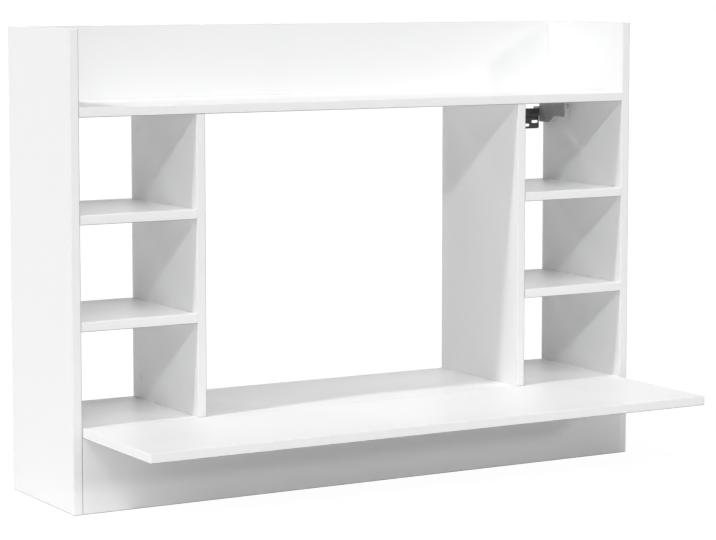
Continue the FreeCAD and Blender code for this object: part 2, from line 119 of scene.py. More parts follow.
# Boards: node, the axis they are thin along, and the sides that carry an edge band.
PANEL = ("X", ("-Y", "+Y", "-Z", "+Z"))
PARTITION = ("X", ("-Y", "+Y"))
SHELF = ("Z", ("-Y", "+Y"))
BOARDS = {
    "side_panel_left": PANEL,
    "side_panel_right": PANEL,
    "top_shelf": SHELF,
    "upper_back_rail": ("Y", ("+Z",)),
    "desk_board": SHELF,
    "front_fascia": ("Y", ("-Z",)),
    "partition_left": PARTITION,
    "partition_right": PARTITION,
    "cubby_shelf_lower_left": SHELF,
    "cubby_shelf_lower_right": SHELF,
    "cubby_shelf_upper_left": SHELF,
    "cubby_shelf_upper_right": SHELF,
    "drop_leaf": ("Z", ("-X", "+X", "-Y", "+Y")),
}

# Profiles of the fittings, as shares of the sizes named beside them. A step of a turned form is
# (rise, radius reached).
CAP_BASE = 0.55                                         # of the rim
CAP_CROWN = ((0.35, 0.985), (0.25, 0.95), (0.2, 0.86), (0.15, 0.7), (0.1, 0.4))   # rim, radius
CAM_CHAMFER = 0.06                                      # of the radius
CAM_FACE = ((1.0, 0.94), (0.0, 0.80), (-1.0, 0.76))     # chamfer, radius
CAM_CROSS = (1.1, 0.5, 0.53)        # arms of the radius, and their two depths of the height
CAM_POCKET = (1.2, 0.59)            # length of the radius, depth of the height
THREAD_CREST, THREAD_ROOT = 0.7, 0.52                   # of a bolt's shank
BOLT_END = ((0.0, "shank"), (0.08, "shank"), (0.0, "crest"), (0.66, "crest"), (0.0, "root"),
            (0.1, "root"), (0.0, "crest"), (0.1, "shank"), (0.06, "crest"))   # rest of the length
DOWEL_CHAMFER = 0.25                                    # of the radius
BARREL_COLLAR = 0.18                                    # of the depth
BARREL_GROOVE, BARREL_NOSE = 0.95, 0.88                 # of the radius
BARREL_SWEEP = math.radians(176)                        # angle that a barrel's slot spans
SCREW_CROWN, SCREW_TOP, SCREW_ROOT = 0.3, 0.8, 0.84     # of head height, head and thread radius

# Relief of a casing, as shares of its length and of its rear height.
TOP_BEAD = (0.44, 0.22, 0.52)       # middle from the front, below the top, length
REAR_BEAD = (0.08, 0.55, 0.5)       # middle from the back, below the top, height
RIVETS = ((0.2, 0.45), (0.28, 0.72), (0.16, 0.86))      # from the back, below the top
RIVET_RISE = 1.5                    # rivets stand this much prouder than the beads


def body_of(node):
    """The body that a CAD node rides on."""
    for name, nodes in frame["record"]["behaviour"]["bodies"].items():
        if node in nodes:
            return name
    raise ValueError("no body holds " + node)


# --- settings that a user would change ---------------------------------------------------
def a_length(name, description, default, low=0.0):
    """A length that a user would change."""
    return FloatProperty(name=name, description=description, default=default, min=low,
                         precision=5, unit="LENGTH")


def a_number(name, description, default, **limits):
    """A plain number that a user would change."""
    return FloatProperty(name=name, description=description, default=default, **limits)


def a_colour(name, description, default):
    """A colour that a user would change."""
    return FloatVectorProperty(name=name, description=description, subtype="COLOR", size=3,
                               default=default, min=0, max=1)


class DeskBoardSettings(bpy.types.PropertyGroup):
    """Sizes and colours of the melamine boards."""
    band: a_length("Edge band", "Thickness of the edge band", 0.0011, low=0.0002)
    glue: a_length("Glue line", "Width of the line between band and face", 0.00018, low=0.00001)
    rounding: a_length("Rounding", "Radius on the corners of the edge band", 0.00095, low=0.0001)
    joint: a_length("Joint", "Gap between a bare end and the board it butts against", 0.0002)
    rounding_steps: IntProperty(
        name="Rounding steps", description="Faces across each rounded corner", default=3, min=1)
    face_colour: a_colour("Face colour", "Melamine faces", (0.928, 0.931, 0.930))
    band_colour: a_colour("Band colour", "Edge bands", (0.926, 0.928, 0.926))
    glue_colour: a_colour("Glue colour", "Glue line beside the bands", (0.52, 0.51, 0.48))


class DeskFittingSettings(bpy.types.PropertyGroup):
    """Sizes of the joinery fittings and hinges."""
    sides: IntProperty(
        name="Roundness", description="Faces round a turned fitting", default=28, min=8)
    cap_rim: a_length("Cap rim", "Height of a cover cap's rim", 0.00035)
    cam_slot: a_length("Cam slot", "Width of the driver slots in a cam", 0.0013)
    thread_pitch: a_length("Thread pitch", "Pitch of the wood threads", 0.0018)
    flutes: IntProperty(name="Flutes", description="Flutes round a dowel", default=14, min=4)
    flute_depth: a_length("Flute depth", "Depth of the flutes in a dowel", 0.00025)
    bore_play: a_length("Bore play", "Bores larger and deeper than the cams in them", 0.00025)
    link_inner: a_length("Link inner radius", "Inner radius of the hinges' crescent links", 0.0083)
    link_outer: a_length("Link outer radius", "Outer radius of the hinges' crescent links", 0.0108)
    link_sweep: a_number("Link sweep", "Angle that a crescent link spans", math.radians(130),
                         unit="ROTATION")
    barrel_radius: a_length("Barrel radius", "Radius of a hinge barrel", 0.005)


class DeskHangerSettings(bpy.types.PropertyGroup):
    """Sizes of the hangers and wall plates."""
    casing_width: a_length("Casing width", "Casing's face off the side panel", 0.013)
    casing_sheet: a_length("Casing sheet", "Sheet of the casing", 0.0012)
    casing_front_height: a_length("Front height", "Height of the casing's front", 0.034)
    casing_rear_height: a_length("Rear height", "Height of the casing's deep rear", 0.0455)
    casing_rear_length: a_length("Rear length", "Length of the casing's deep rear", 0.031)
    casing_slope: a_length("Slope length", "Length of the slant ahead of the deep rear", 0.016)
    casing_corner: a_length("Casing corner", "Radius of the casing's pressed corners", 0.0018)
    casing_edge: a_length("Casing edge", "Radius round the casing's face", 0.001)
    cup_inset: a_length("Cup inset", "Fixing screw behind the casing's front", 0.011)
    cup_drop: a_length("Cup drop", "Fixing screw below the casing's top", 0.028)
    cup_radius: a_length("Cup radius", "Radius of the cup round the fixing screw", 0.0052)
    spigot_radius: a_length("Spigot radius", "Radius of the spigots in the side panel", 0.005)
    spigot_rear: a_length("Spigot place", "Rear spigot in from the casing's back", 0.016)
    spigot_pitch: a_length("Spigot pitch", "Distance between the spigots", 0.032)
    spigot_tab: a_length("Spigot tab", "Tab each side of its spigot", 0.008)
    spigot_margin: a_length("Spigot margin", "Sheet above a spigot", 0.001)
    screw_inset: a_length("Screw inset", "Adjusting screws off the side panel", 0.0075)
    depth_drop: a_length("Depth screw drop", "Depth screw below the casing's top", 0.014)
    height_inset: a_length("Height screw inset", "Height screw in from the casing's back", 0.019)
    depth_travel: a_length("Depth travel", "Travel away from the wall", 0.008)
    arm_slot: a_length("Arm slot", "Width of the opening for the hook's arm", 0.0064)
    arm_low: a_length("Arm low", "Underside of the hook's arm above the slot row", 0.0167)
    arm_high: a_length("Arm high", "Top of the hook's arm above the slot row", 0.0277)
    hook_swing: a_length("Arm travel", "Room above and below the hook's arm", 0.0056)
    driver_room: a_length("Driver room", "Driver's hole wider than the screw's head", 0.0005)
    hole_play: a_length("Hole play", "Hole wider than the screw in it", 0.00006)
    sheet_edge: a_length("Sheet edge", "Broken corners of cut sheet", 0.00015)
    hook_edge: a_length("Hook edge", "Broken corners of the hooks", 0.0003)
    bead_width: a_length("Bead width", "Width of the pressed beads", 0.0022)
    bead_height: a_length("Bead height", "Height of the pressed beads", 0.0003)
    rivet_radius: a_length("Rivet radius", "Radius of the rivet heads", 0.0012)
    fixing_head: a_length("Fixing head", "Radius of the fixing screw's head", 0.0036)
    fixing_head_height: a_length("Fixing head height", "Height of that head", 0.0024)
    fixing_thread: a_length("Fixing thread", "Radius of the fixing screw's thread", 0.00175)
    adjuster_head: a_length("Adjuster head", "Radius of the adjusting screws' heads", 0.004)
    adjuster_head_height: a_length("Adjuster head height", "Height of those heads", 0.0022)
    adjuster_neck: a_length("Adjuster neck", "Radius of their necks", 0.0021)
    adjuster_thread: a_length("Adjuster thread", "Radius of their threads", 0.0025)
    collar_length: a_length("Collar length", "Length of the screws' collars", 0.0012)
    driver_slot: a_length("Driver slot", "Width of the driver slots", 0.001)
    driver_depth: a_length("Driver slot depth", "Depth of the driver slots", 0.0012)
    plate_sheet: a_length("Plate sheet", "Sheet of the wall plates", 0.0015)
    plate_corner: a_length("Plate corner", "Radius of the plates' lower corners", 0.003)
    bend_radius: a_length("Bend radius", "Radius of the bends in the plates", 0.0008)
    step_low: a_length("Step start", "Step's lower end above the slot row", 0.0095)
    step_high: a_length("Step end", "Step's upper end above the slot row", 0.0145)
    ridge_level: a_length("Ridge level", "Ridge above the slot row", 0.0062)
    ridge_width: a_length("Ridge width", "Width of the ridge and the groove", 0.0032)
    ridge_height: a_length("Ridge height", "Height of the ridge", 0.0009)
    groove_depth: a_length("Groove depth", "Depth of the groove below the lip's edge", 0.0004)
    slot_height: a_length("Slot height", "Height of the screw slots", 0.005)
    slot_length: a_length("Slot length", "Length of the screw slots", 0.014)
    slot_pitch: a_length("Slot pitch", "Distance between the slots", 0.0184)
    slot_rows: a_length("Slot rows", "Lower row below the upper row", 0.006)
    slot_end: a_length("Slot end", "Outermost slot in from the plate's end", 0.009)


class DeskStageSettings(bpy.types.PropertyGroup):
    """Camera, lamps and floor."""
    camera_place: FloatVectorProperty(
        name="Camera place", description="Where the camera stands", subtype="TRANSLATION",
        unit="LENGTH", size=3, default=(-2.091519, -3.787883, 0.263848), precision=4)
    camera_yaw: a_number("Camera yaw", "Turn of the camera to the right of square on", 0.52895,
                         unit="ROTATION")
    camera_pitch: a_number("Camera pitch", "Tilt of the camera below level", 0.09641,
                           unit="ROTATION")
    camera_lens: a_number("Lens", "Focal length on a 36 mm wide sensor", 127.55, unit="CAMERA")
    camera_shift: a_number("Vertical shift", "Shift of the lens, in picture widths", -0.07)
    lamp_strength: a_number("Lamps", "Strength of every lamp", 1.0)
    world_strength: a_number("World", "Strength of the light from all round", 0.0)
    floor_glow: a_number("Floor glow", "Strength of the white that the floor is lifted to", 1.1)
    floor_lift: a_number("Floor lift", "How far the floor is lifted to white where it is seen",
                         0.85, min=0, max=1)
    floor_colour: a_colour("Floor colour", "Floor under the desk", (0.78, 0.78, 0.78))


# --- materials -------------------------------------------------------------------------
class Nodes:
    """A node tree that is being built up."""

    def __init__(self, group):
        self.group = group

    def node(self, kind, **settings):
        """A new node with its settings."""
        made = self.group.nodes.new(kind)
        for name, value in settings.items():
            setattr(made, name, value)
        return made

    def feed(self, value, socket):
        """Link a socket to an input, or set it when it is a plain value."""
        if isinstance(value, bpy.types.NodeSocket):
            self.group.links.new(value, socket)
        else:
            socket.default_value = value

    def fed(self, kind, inputs, output=0, **settings):
        """A new node with its settings and inputs, as its output."""
        made = self.node(kind, **settings)
        for socket, value in inputs.items():
            self.feed(value, made.inputs[socket])
        return made.outputs[output]

    def math(self, operation, first, second=0.0):
        """One step of arithmetic."""
        return self.fed("ShaderNodeMath", {0: first, 1: second}, operation=operation)

    def times(self, first, second):
        """The product of two numbers."""
        return self.math("MULTIPLY", first, second)

    def show(self, seen, unseen, share, end):
        """End in one shader where the camera looks, also in a reflection, and one elsewhere."""
        path = self.node("ShaderNodeLightPath").outputs
        direct = path["Is Camera Ray"]
        for name in ("Is Glossy Ray", "Is Transmission Ray"):
            direct = self.math("MAXIMUM", direct, path[name])
        mixed = self.fed("ShaderNodeMixShader", {0: self.times(direct, share), 1: unseen, 2: seen})
        self.feed(mixed, self.group.nodes[end].inputs["Surface"])


class Finish(Nodes):
    """A node material, built up from object coordinates."""

    def __init__(self, name):
        self.material = bpy.data.materials.new(name)
        self.material.use_nodes = True
        super().__init__(self.material.node_tree)
        self.shader = self.group.nodes["Principled BSDF"]

    def place(self, stretch=(1, 1, 1)):
        """Object coordinates, stretched."""
        coordinates = self.node("ShaderNodeTexCoord").outputs["Object"]
        return self.fed("ShaderNodeMapping", {"Vector": coordinates, "Scale": stretch})

    def noise(self, place, scale, detail=2.0, distortion=0.0):
        """Soft noise; scale counts its lumps per metre."""
        return self.fed("ShaderNodeTexNoise", {"Vector": place, "Scale": scale, "Detail": detail,
                                               "Distortion": distortion})

    def cells(self, place, scale):
        """Irregular cells with a number each; scale counts them per metre."""
        tint = self.fed("ShaderNodeTexVoronoi", {"Vector": place, "Scale": scale}, "Color")
        return self.fed("ShaderNodeSeparateColor", {"Color": tint}, "Red")

    def ranged(self, value, low, high, out_low, out_high):
        """Map a value from one range to another, clamped."""
        return self.fed("ShaderNodeMapRange", {
            "Value": value, "From Min": low, "From Max": high, "To Min": out_low,
            "To Max": out_high}, clamp=True)

    def blend(self, share, first, second):
        """Mix two colours."""
        return self.fed("ShaderNodeMix", {"Factor": share, "A": rgba(first), "B": rgba(second)},
                        "Result", data_type="RGBA")

    def shades(self, value, low, high, first, second):
        """From one colour to another, as a value goes from low to high."""
        return self.blend(self.ranged(value, low, high, 0, 1), first, second)

    def attribute(self, name):
        """A number stored on the piece's own mesh."""
        return self.node("ShaderNodeAttribute", attribute_name=name).outputs["Fac"]

    def bump(self, height, distance, strength, under=None):
        """Relief from a height, in metres, over an earlier relief."""
        inputs = {"Distance": distance, "Strength": strength, "Height": height}
        if under is not None:
            inputs["Normal"] = under
        return self.fed("ShaderNodeBump", inputs)

    def done(self, colour, roughness, normal=None, metallic=0.0):
        """Feed the shader and return the material."""
        inputs = self.shader.inputs
        self.feed(rgba(colour), inputs["Base Color"])
        self.feed(roughness, inputs["Roughness"])
        self.feed(metallic, inputs["Metallic"])
        if normal is not None:
            self.feed(normal, inputs["Normal"])
        return self.material


def rgba(colour):
    """A colour with its alpha, or a socket as it is."""
    if isinstance(colour, bpy.types.NodeSocket):
        return colour
    return (*tuple(colour)[:3], 1.0)


def shaded(colour, factor):
    """A colour made lighter or darker."""
    return tuple(min(1.0, channel * factor) for channel in tuple(colour)[:3])


def made_once(maker):
    """A finish under its maker's name, made when first asked for."""
    def given():
        name = maker.__name__ + "_finish"
        return bpy.data.materials.get(name) or maker(Finish(name))
    return given


@made_once
def white_melamine(finish):
    """Satin white melamine: pearl texture, slow swell of the board, faint handling haze."""
    white = bpy.context.scene.desk_boards.face_colour
    place = finish.place()
    pearl = finish.noise(place, 1300)
    swell = finish.noise(place, 140, detail=1)
    haze = finish.noise(place, 7, detail=4, distortion=0.6)
    touch = finish.noise(place, 38, detail=3, distortion=1.2)
    colour = finish.shades(haze, 0.3, 0.7, shaded(white, 0.992), white)
    sheen = finish.math("ADD", finish.ranged(haze, 0.3, 0.7, 0.33, 0.41),
                        finish.ranged(touch, 0.55, 0.75, 0.0, 0.05))
    relief = finish.bump(pearl, 0.00002, 0.5, under=finish.bump(swell, 0.00004, 0.35))
    return finish.done(colour, sheen, relief)


@made_once
def edge_band(finish):
    """Edge band, a touch duller than the faces, with rubbed corners, and painted shade (darker, without gloss) on
    the corners that turn away from the lamps.
    """
    white = bpy.context.scene.desk_boards.band_colour
    place = finish.place()
    chatter = finish.noise(place, 2200, detail=1)
    patches = finish.noise(place, 60, detail=3)
    worn = finish.ranged(finish.noise(place, 90, detail=4), 0.5, 0.72, 0, 1)
    rub = finish.times(finish.attribute("corner"), worn)
    painted_shade = finish.attribute("painted_shade")
    colour = finish.shades(patches, 0.35, 0.65, shaded(white, 0.99), white)
    colour = finish.blend(rub, colour, shaded(white, 0.9))
    # Painted shade: corners that turn right, down or back are darkened to about a third and lose their gloss.
    colour = finish.blend(painted_shade, colour, shaded(white, 0.35))
    finish.feed(finish.ranged(painted_shade, 0, 1, 0.5, 0), finish.shader.inputs["Specular IOR Level"])
    sheen = finish.math("ADD", finish.ranged(patches, 0.3, 0.7, 0.36, 0.44),
                        finish.times(rub, 0.2))
    return finish.done(colour, sheen, finish.bump(chatter, 0.00002, 0.4))


@made_once
def glue_line(finish):
    """Thin line of glue beside the band."""
    glue = bpy.context.scene.desk_boards.glue_colour
    specks = finish.noise(finish.place(), 900)
    colour = finish.blend(specks, glue, shaded(glue, 1.3))
    return finish.done(colour, 0.6, finish.bump(specks, 0.00003, 0.5))


@made_once
def white_plastic(finish):
    """Moulded white plastic, a little glossier and cooler than the boards."""
    white = bpy.context.scene.desk_boards.band_colour
    place = finish.place()
    flow = finish.noise(place, 260, detail=3, distortion=0.8)
    spark = finish.noise(place, 3200, detail=1)
    return finish.done(finish.blend(flow, shaded(white, 0.95), white),
                       finish.ranged(flow, 0.3, 0.7, 0.28, 0.36),
                       finish.bump(spark, 0.00001, 0.5))


def metal(finish, dark, light, roughness, scale, relief=0.00002):
    """Bare metal: fine grain, and clouds of two tones."""
    grain = finish.noise(finish.place(), scale, detail=4)
    cloud = finish.noise(finish.place(), 90, detail=3, distortion=0.5)
    return finish.done(finish.shades(cloud, 0.3, 0.7, dark, light),
                       finish.ranged(grain, 0.25, 0.75, *roughness),
                       finish.bump(grain, relief, 0.4), metallic=1.0)


@made_once
def bright_steel(finish):
    """Zinc plated screws and bolts, with turning marks."""
    return metal(finish, (0.5, 0.51, 0.52), (0.62, 0.63, 0.64), (0.2, 0.36), 1500)


@made_once
def cast_zinc(finish):
    """Die-cast zinc: dull, faintly cloudy."""
    return metal(finish, (0.4, 0.4, 0.41), (0.5, 0.5, 0.5), (0.38, 0.55), 900, relief=0.00005)


@made_once
def hinge_brass(finish):
    """Bare brass, slightly tarnished."""
    return metal(finish, (0.58, 0.42, 0.2), (0.72, 0.54, 0.27), (0.22, 0.4), 1300)


@made_once
def zinc_steel(finish):
    """Pressed zinc plated sheet: dull and streaky on its sides, with a painted reflection on every face that does
    not face along X, coloured far lighter as if it mirrored the bright studio.
    """
    streak = finish.noise(finish.place((1, 0.12, 1)), 900, detail=4)
    patch = finish.noise(finish.place(), 130, detail=4, distortion=1.0)
    colour = finish.shades(patch, 0.35, 0.65, (0.31, 0.31, 0.315), (0.37, 0.37, 0.375))
    # Painted reflection: faces not turned along X take a light grey in place of the bright studio they would
    # mirror.
    colour = finish.blend(finish.attribute("painted_reflection"), colour, (0.78, 0.78, 0.785))
    return finish.done(colour, finish.ranged(streak, 0.3, 0.7, 0.42, 0.56),
                       finish.bump(streak, 0.00003, 0.35), metallic=0.2)


@made_once
def galvanised_steel(finish):
    """Galvanised sheet gone dull: angular spangle in two dark tones."""
    place = finish.place()
    spangle = finish.cells(place, 260)
    dust = finish.noise(place, 500, detail=4)
    colour = finish.blend(spangle, (0.115, 0.115, 0.12), (0.165, 0.165, 0.17))
    colour = finish.blend(finish.ranged(dust, 0.5, 0.75, 0, 0.3), colour, (0.2, 0.2, 0.2))
    return finish.done(colour, finish.ranged(spangle, 0, 1, 0.38, 0.55),
                       finish.bump(dust, 0.00003, 0.3), metallic=0.7)


@made_once
def chipboard(finish):
    """Raw particle board: pressed chips of several browns."""
    chips = finish.cells(finish.place(), 900)
    colour = finish.blend(chips, (0.42, 0.29, 0.17), (0.62, 0.47, 0.3))
    return finish.done(colour, 0.85, finish.bump(chips, 0.0001, 0.6))


@made_once
def beech(finish):
    """Beech: pink-brown wood with short dark flecks."""
    fleck = finish.noise(finish.place((1, 6, 1)), 260, detail=3)
    tone = finish.noise(finish.place(), 70, detail=3)
    colour = finish.shades(tone, 0.3, 0.7, (0.56, 0.36, 0.2), (0.66, 0.46, 0.28))
    colour = finish.blend(finish.ranged(fleck, 0.6, 0.7, 0, 0.6), colour, (0.36, 0.2, 0.1))
    return finish.done(colour, 0.55, finish.bump(fleck, 0.00005, 0.6))


# --- boards ----------------------------------------------------------------------------
def signed(side):
    """Axis number and sign of a side such as -Y."""
    return "XYZ".index(side[1]), -1 if side[0] == "-" else 1


def cut_lines(low, high, axis, banded, band, glue):
    """Where the faces are divided along an axis, at bands and glue lines."""
    lines = [low[axis]]
    if ("-" + "XYZ"[axis]) in banded:
        lines += [low[axis] + band, low[axis] + band + glue]
    if ("+" + "XYZ"[axis]) in banded:
        lines += [high[axis] - band - glue, high[axis] - band]
    return lines + [high[axis]]


def at(axis, value, first, second):
    """A point from its place on an axis and on the two axes after it."""
    place = [0.0, 0.0, 0.0]
    place[axis], place[(axis + 1) % 3], place[(axis + 2) % 3] = value, first, second
    return tuple(place)


def divided_box(bm, lines):
    """A closed box whose faces are divided along the given lines of each axis."""
    corners = {}

    def corner(place):
        if place not in corners:
            corners[place] = bm.verts.new(place)
        return corners[place]

    for axis in range(3):
        along, across = lines[(axis + 1) % 3], lines[(axis + 2) % 3]
        for value in (lines[axis][0], lines[axis][-1]):
            for a0, a1 in zip(along, along[1:]):
                for b0, b1 in zip(across, across[1:]):
                    ring = [(a0, b0), (a1, b0), (a1, b1), (a0, b1)]
                    if value == lines[axis][0]:
                        ring.reverse()
                    bm.faces.new([corner(at(axis, value, a, b)) for a, b in ring])


def depth_in(point, low, high, side):
    """How far inside that side of a box a point lies."""
    axis, sign = signed(side)
    return sign * ((high if sign > 0 else low)[axis] - point[axis])


def looks_away(normal):
    """Whether a corner looks to the right, down or back, away from the lamps, so that it gets painted shade."""
    return max(normal.x, normal.y, -normal.z) > AWAY


def board_mesh(name, low, high, thin, banded):
    """A board with its edge bands, their glue lines, their rounded corners and a mask of painted shade on the
    corners that turn away from the lamps.
    """
    settings = bpy.context.scene.desk_boards
    flat = "XYZ".index(thin)
    lines = [cut_lines(low, high, axis, banded, settings.band, settings.glue)
             if axis != flat else [low[axis], high[axis]] for axis in range(3)]
    bm = bmesh.new()
    corner = bm.faces.layers.float.new("corner")
    painted_shade = bm.faces.layers.float.new("painted_shade")
    divided_box(bm, lines)
    bm.normal_update()
    for face in bm.faces:
        centre = face.calc_center_median()
        nearest = min(depth_in(centre, low, high, side) for side in banded)
        if nearest < settings.band:
            face.material_index = BAND
        elif nearest < settings.band + settings.glue:
            face.material_index = GLUE
        else:
            face.material_index = FACE
    trimmed = []
    for edge in bm.edges:
        touching = [side for side in ("-" + thin, "+" + thin, *banded)
                    if all(abs(depth_in(v.co, low, high, side)) < TOUCH for v in edge.verts)]
        if len(touching) == 2 and any(side in banded for side in touching):
            trimmed.append(edge)
    made = bmesh.ops.bevel(bm, geom=trimmed, offset=settings.rounding, offset_type="OFFSET",
                           segments=settings.rounding_steps, profile=0.5, affect="EDGES",
                           clamp_overlap=True)
    for face in made["faces"]:
        face.material_index = BAND
        face[corner] = 1.0
        # Painted shade mask: rounded corners turned away from the lamps, to be darkened and unglossed.
        face[painted_shade] = 1.0 if looks_away(face.normal) else 0.0
    bmesh.ops.dissolve_degenerate(bm, dist=WELD / 10, edges=bm.edges)
    mesh = mesh_from(bm, name)
    for material in (white_melamine(), edge_band(), glue_line()):
        mesh.materials.append(material)
    return mesh


def add_object(name, data):
    """A new object at the origin of the scene."""
    made = bpy.data.objects.new(name, data)
    bpy.context.scene.collection.objects.link(made)
    return made


def finished(item, *tools):
    """The mesh of an object after its modifiers. It and its tools are removed."""
    evaluated = item.evaluated_get(bpy.context.evaluated_depsgraph_get())
    mesh = bpy.data.meshes.new_from_object(evaluated)
    for spent in (item, *tools):
        bpy.data.objects.remove(spent)
    return mesh


def smooth(mesh, degrees=35):
    """Smooth shading, broken at corners sharper than that and led by the larger faces."""
    mesh.shade_smooth()
    mesh.set_sharp_from_angle(angle=math.radians(degrees))
    name = mesh.name
    item = add_object("shaded", mesh)
    item.modifiers.new("weighted", "WEIGHTED_NORMAL").keep_sharp = True
    made = finished(item)
    made.name = name
    return made


def place_piece(name, mesh, node):
    """Put a finished mesh in the scene in place of a CAD node, on the node's body."""
    piece = add_object(name, mesh)
    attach(piece, body_of(node))
    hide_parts(node)


def inside(point, low, high):
    """Whether a point lies in a box."""
    return all(low[axis] < point[axis] < high[axis] for axis in range(3))


def open_bores():
    """Seats of the cams that no cover cap hides."""
    caps = middles("cam_cover_caps")
    radius = max(span_of("cam_locks")) / 2
    return [seat for seat in cam_seats()
            if (nearest_to(seat.origin, caps) - seat.origin).length > radius]


def bored(mesh, bores):
    """The board with a bore at each seat, showing bare chipboard inside."""
    settings = bpy.context.scene.desk_fittings
    cam = span_of("cam_locks")
    radius = max(cam) / 2 + settings.bore_play
    depth = min(cam) + settings.bore_play
    steps = []
    for bore in bores:
        axis = widest([abs(value) for value in bore.facing])
        centre = (bore.origin[(axis + 1) % 3], bore.origin[(axis + 2) % 3])
        ends = sorted((bore.origin[axis] - bore.facing[axis] * depth,
                       bore.origin[axis] + bore.facing[axis] * OVER))
        steps.append(("DIFFERENCE", prism(axis, circle(centre, radius), *ends)))
    made = worked(mesh, steps)
    made.materials.append(chipboard())
    raw = len(made.materials) - 1
    for face in made.polygons:
        for bore in bores:
            away = face.center - bore.origin
            deep = -away.dot(bore.facing)
            if deep > WELD and (away + bore.facing * deep).length < radius + WELD:
                face.material_index = raw
    return made


def make_board(node):
    """Replace a plain CAD board with its banded mesh."""
    thin, banded = BOARDS[node]
    low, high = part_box(node)
    joint = bpy.context.scene.desk_boards.joint
    for axis, letter in enumerate("XYZ"):
        if letter != thin:
            low[axis] += joint if "-" + letter not in banded else 0
            high[axis] -= joint if "+" + letter not in banded else 0
    mesh = board_mesh(node + "_board", low, high, thin, banded)
    bores = [bore for bore in open_bores() if inside(bore.origin - bore.facing * OVER, low, high)]
    if bores:
        mesh = bored(mesh, bores)
    place_piece(node + "_board", smooth(mesh), node)


class DESK_OT_boards(bpy.types.Operator):
    """Make every carcass board"""
    bl_idname = "desk.boards"
    bl_label = "Carcass boards"

    def execute(self, context):
        for node in BOARDS:
            if node != "drop_leaf":
                make_board(node)
        return {"FINISHED"}


class DESK_OT_leaf(bpy.types.Operator):
    """Make the folding leaf"""
    bl_idname = "desk.leaf"
    bl_label = "Folding leaf"

    def execute(self, context):
        make_board("drop_leaf")
        return {"FINISHED"}


# --- fittings by geometry nodes -------------------------------------------------------------
class Tree(Nodes):
    """A geometry node tree with named inputs, which makes one fitting for every seat."""

    def __init__(self, name, counts, lengths):
        super().__init__(bpy.data.node_groups.new(name, "GeometryNodeTree"))
        sockets = self.group.interface
        for way in ("INPUT", "OUTPUT"):
            sockets.new_socket("Geometry", in_out=way, socket_type="NodeSocketGeometry")
        for kind, titles in (("NodeSocketInt", counts), ("NodeSocketFloat", lengths)):
            for title in titles:
                sockets.new_socket(title, in_out="INPUT", socket_type=kind)
        self.entry = self.node("NodeGroupInput")
        self.exit = self.node("NodeGroupOutput")
        self.sizes = [self.entry.outputs[title] for title in counts + lengths]

    def vector(self, x=0.0, y=0.0, z=0.0):
        """A vector from three numbers."""
        return self.fed("ShaderNodeCombineXYZ", {0: x, 1: y, 2: z})

    def move(self, mesh, by, turn=(0, 0, 0)):
        """The mesh, turned and then moved."""
        return self.fed("GeometryNodeTransform",
                        {"Geometry": mesh, "Translation": by, "Rotation": turn})

    def less(self, mesh, *cutters):
        """The mesh with the cutters taken away."""
        made = self.node("GeometryNodeMeshBoolean", operation="DIFFERENCE", solver="EXACT")
        self.feed(mesh, made.inputs["Mesh 1"])
        for cutter in cutters:
            self.feed(cutter, made.inputs["Mesh 2"])
        return made.outputs["Mesh"]

    def block(self, x, y, z):
        """A box about the origin, to cut with."""
        return self.fed("GeometryNodeMeshCube", {"Size": self.vector(x, y, z)})

    def turned(self, sides, radius, length, steps):
        """A turned form along +Z from the origin. Each step is (rise, radius reached)."""
        drum = self.node("GeometryNodeMeshCylinder", fill_type="NGON")
        for name, value in (("Vertices", sides), ("Radius", radius), ("Depth", length)):
            self.feed(value, drum.inputs[name])
        mesh = self.move(drum.outputs["Mesh"], self.vector(z=self.times(length, 0.5)))
        top = drum.outputs["Top"]
        now = radius
        for rise, reached in steps:
            grow = self.node("GeometryNodeExtrudeMesh", mode="FACES")
            self.feed(mesh, grow.inputs["Mesh"])
            self.feed(top, grow.inputs["Selection"])
            self.feed(rise, grow.inputs["Offset Scale"])
            top = grow.outputs["Top"]
            mesh = self.fed("GeometryNodeScaleElements", {
                "Geometry": grow.outputs["Mesh"], "Selection": top,
                "Scale": self.math("DIVIDE", reached, now)}, domain="FACE")
            now = reached
        return mesh

    def crescent(self, inner, outer, sweep, thickness, steps=20):
        """A crescent about the origin, in the XY plane, with its middle on +X."""
        arc = self.fed("GeometryNodeCurveArc", {
            "Resolution": steps, "Radius": self.times(self.math("ADD", inner, outer), 0.5),
            "Start Angle": self.times(sweep, -0.5), "Sweep Angle": sweep}, mode="RADIUS")
        profile = self.fed("GeometryNodeCurvePrimitiveQuadrilateral", {
            "Width": self.math("SUBTRACT", outer, inner), "Height": thickness}, mode="RECTANGLE")
        return self.fed("GeometryNodeCurveToMesh",
                        {"Curve": arc, "Profile Curve": profile, "Fill Caps": True})

    def on_seats(self, fitting, material):
        """One fitting on every seat, facing as the seat says, as a plain mesh."""
        turn = None
        for axis, pivot, name in (("Z", "AUTO", "facing"), ("X", "Z", "into")):
            inputs = {"Vector": self.fed("GeometryNodeInputNamedAttribute", {"Name": name},
                                         "Attribute", data_type="FLOAT_VECTOR")}
            if turn is not None:
                inputs["Rotation"] = turn
            turn = self.fed("FunctionNodeAlignRotationToVector", inputs, axis=axis,
                            pivot_axis=pivot)
        spread = self.fed("GeometryNodeInstanceOnPoints", {
            "Points": self.entry.outputs["Geometry"], "Instance": fitting, "Rotation": turn})
        plain = self.fed("GeometryNodeRealizeInstances", {"Geometry": spread})
        painted = self.fed("GeometryNodeSetMaterial", {"Geometry": plain, "Material": material})
        self.feed(painted, self.exit.inputs["Geometry"])
        return self


# Where a fitting sits: its origin, the way it faces and the way it points into.
Seat = namedtuple("Seat", ("origin", "facing", "into"))


def seat_mesh(name, seats):
    """A loose point for each seat, with its directions."""
    mesh = bpy.data.meshes.new(name)
    mesh.from_pydata([seat.origin for seat in seats], [], [])
    for direction in ("facing", "into"):
        stored = mesh.attributes.new(direction, "FLOAT_VECTOR", "POINT")
        for item, seat in zip(stored.data, seats):
            item.vector = getattr(seat, direction)
    return mesh


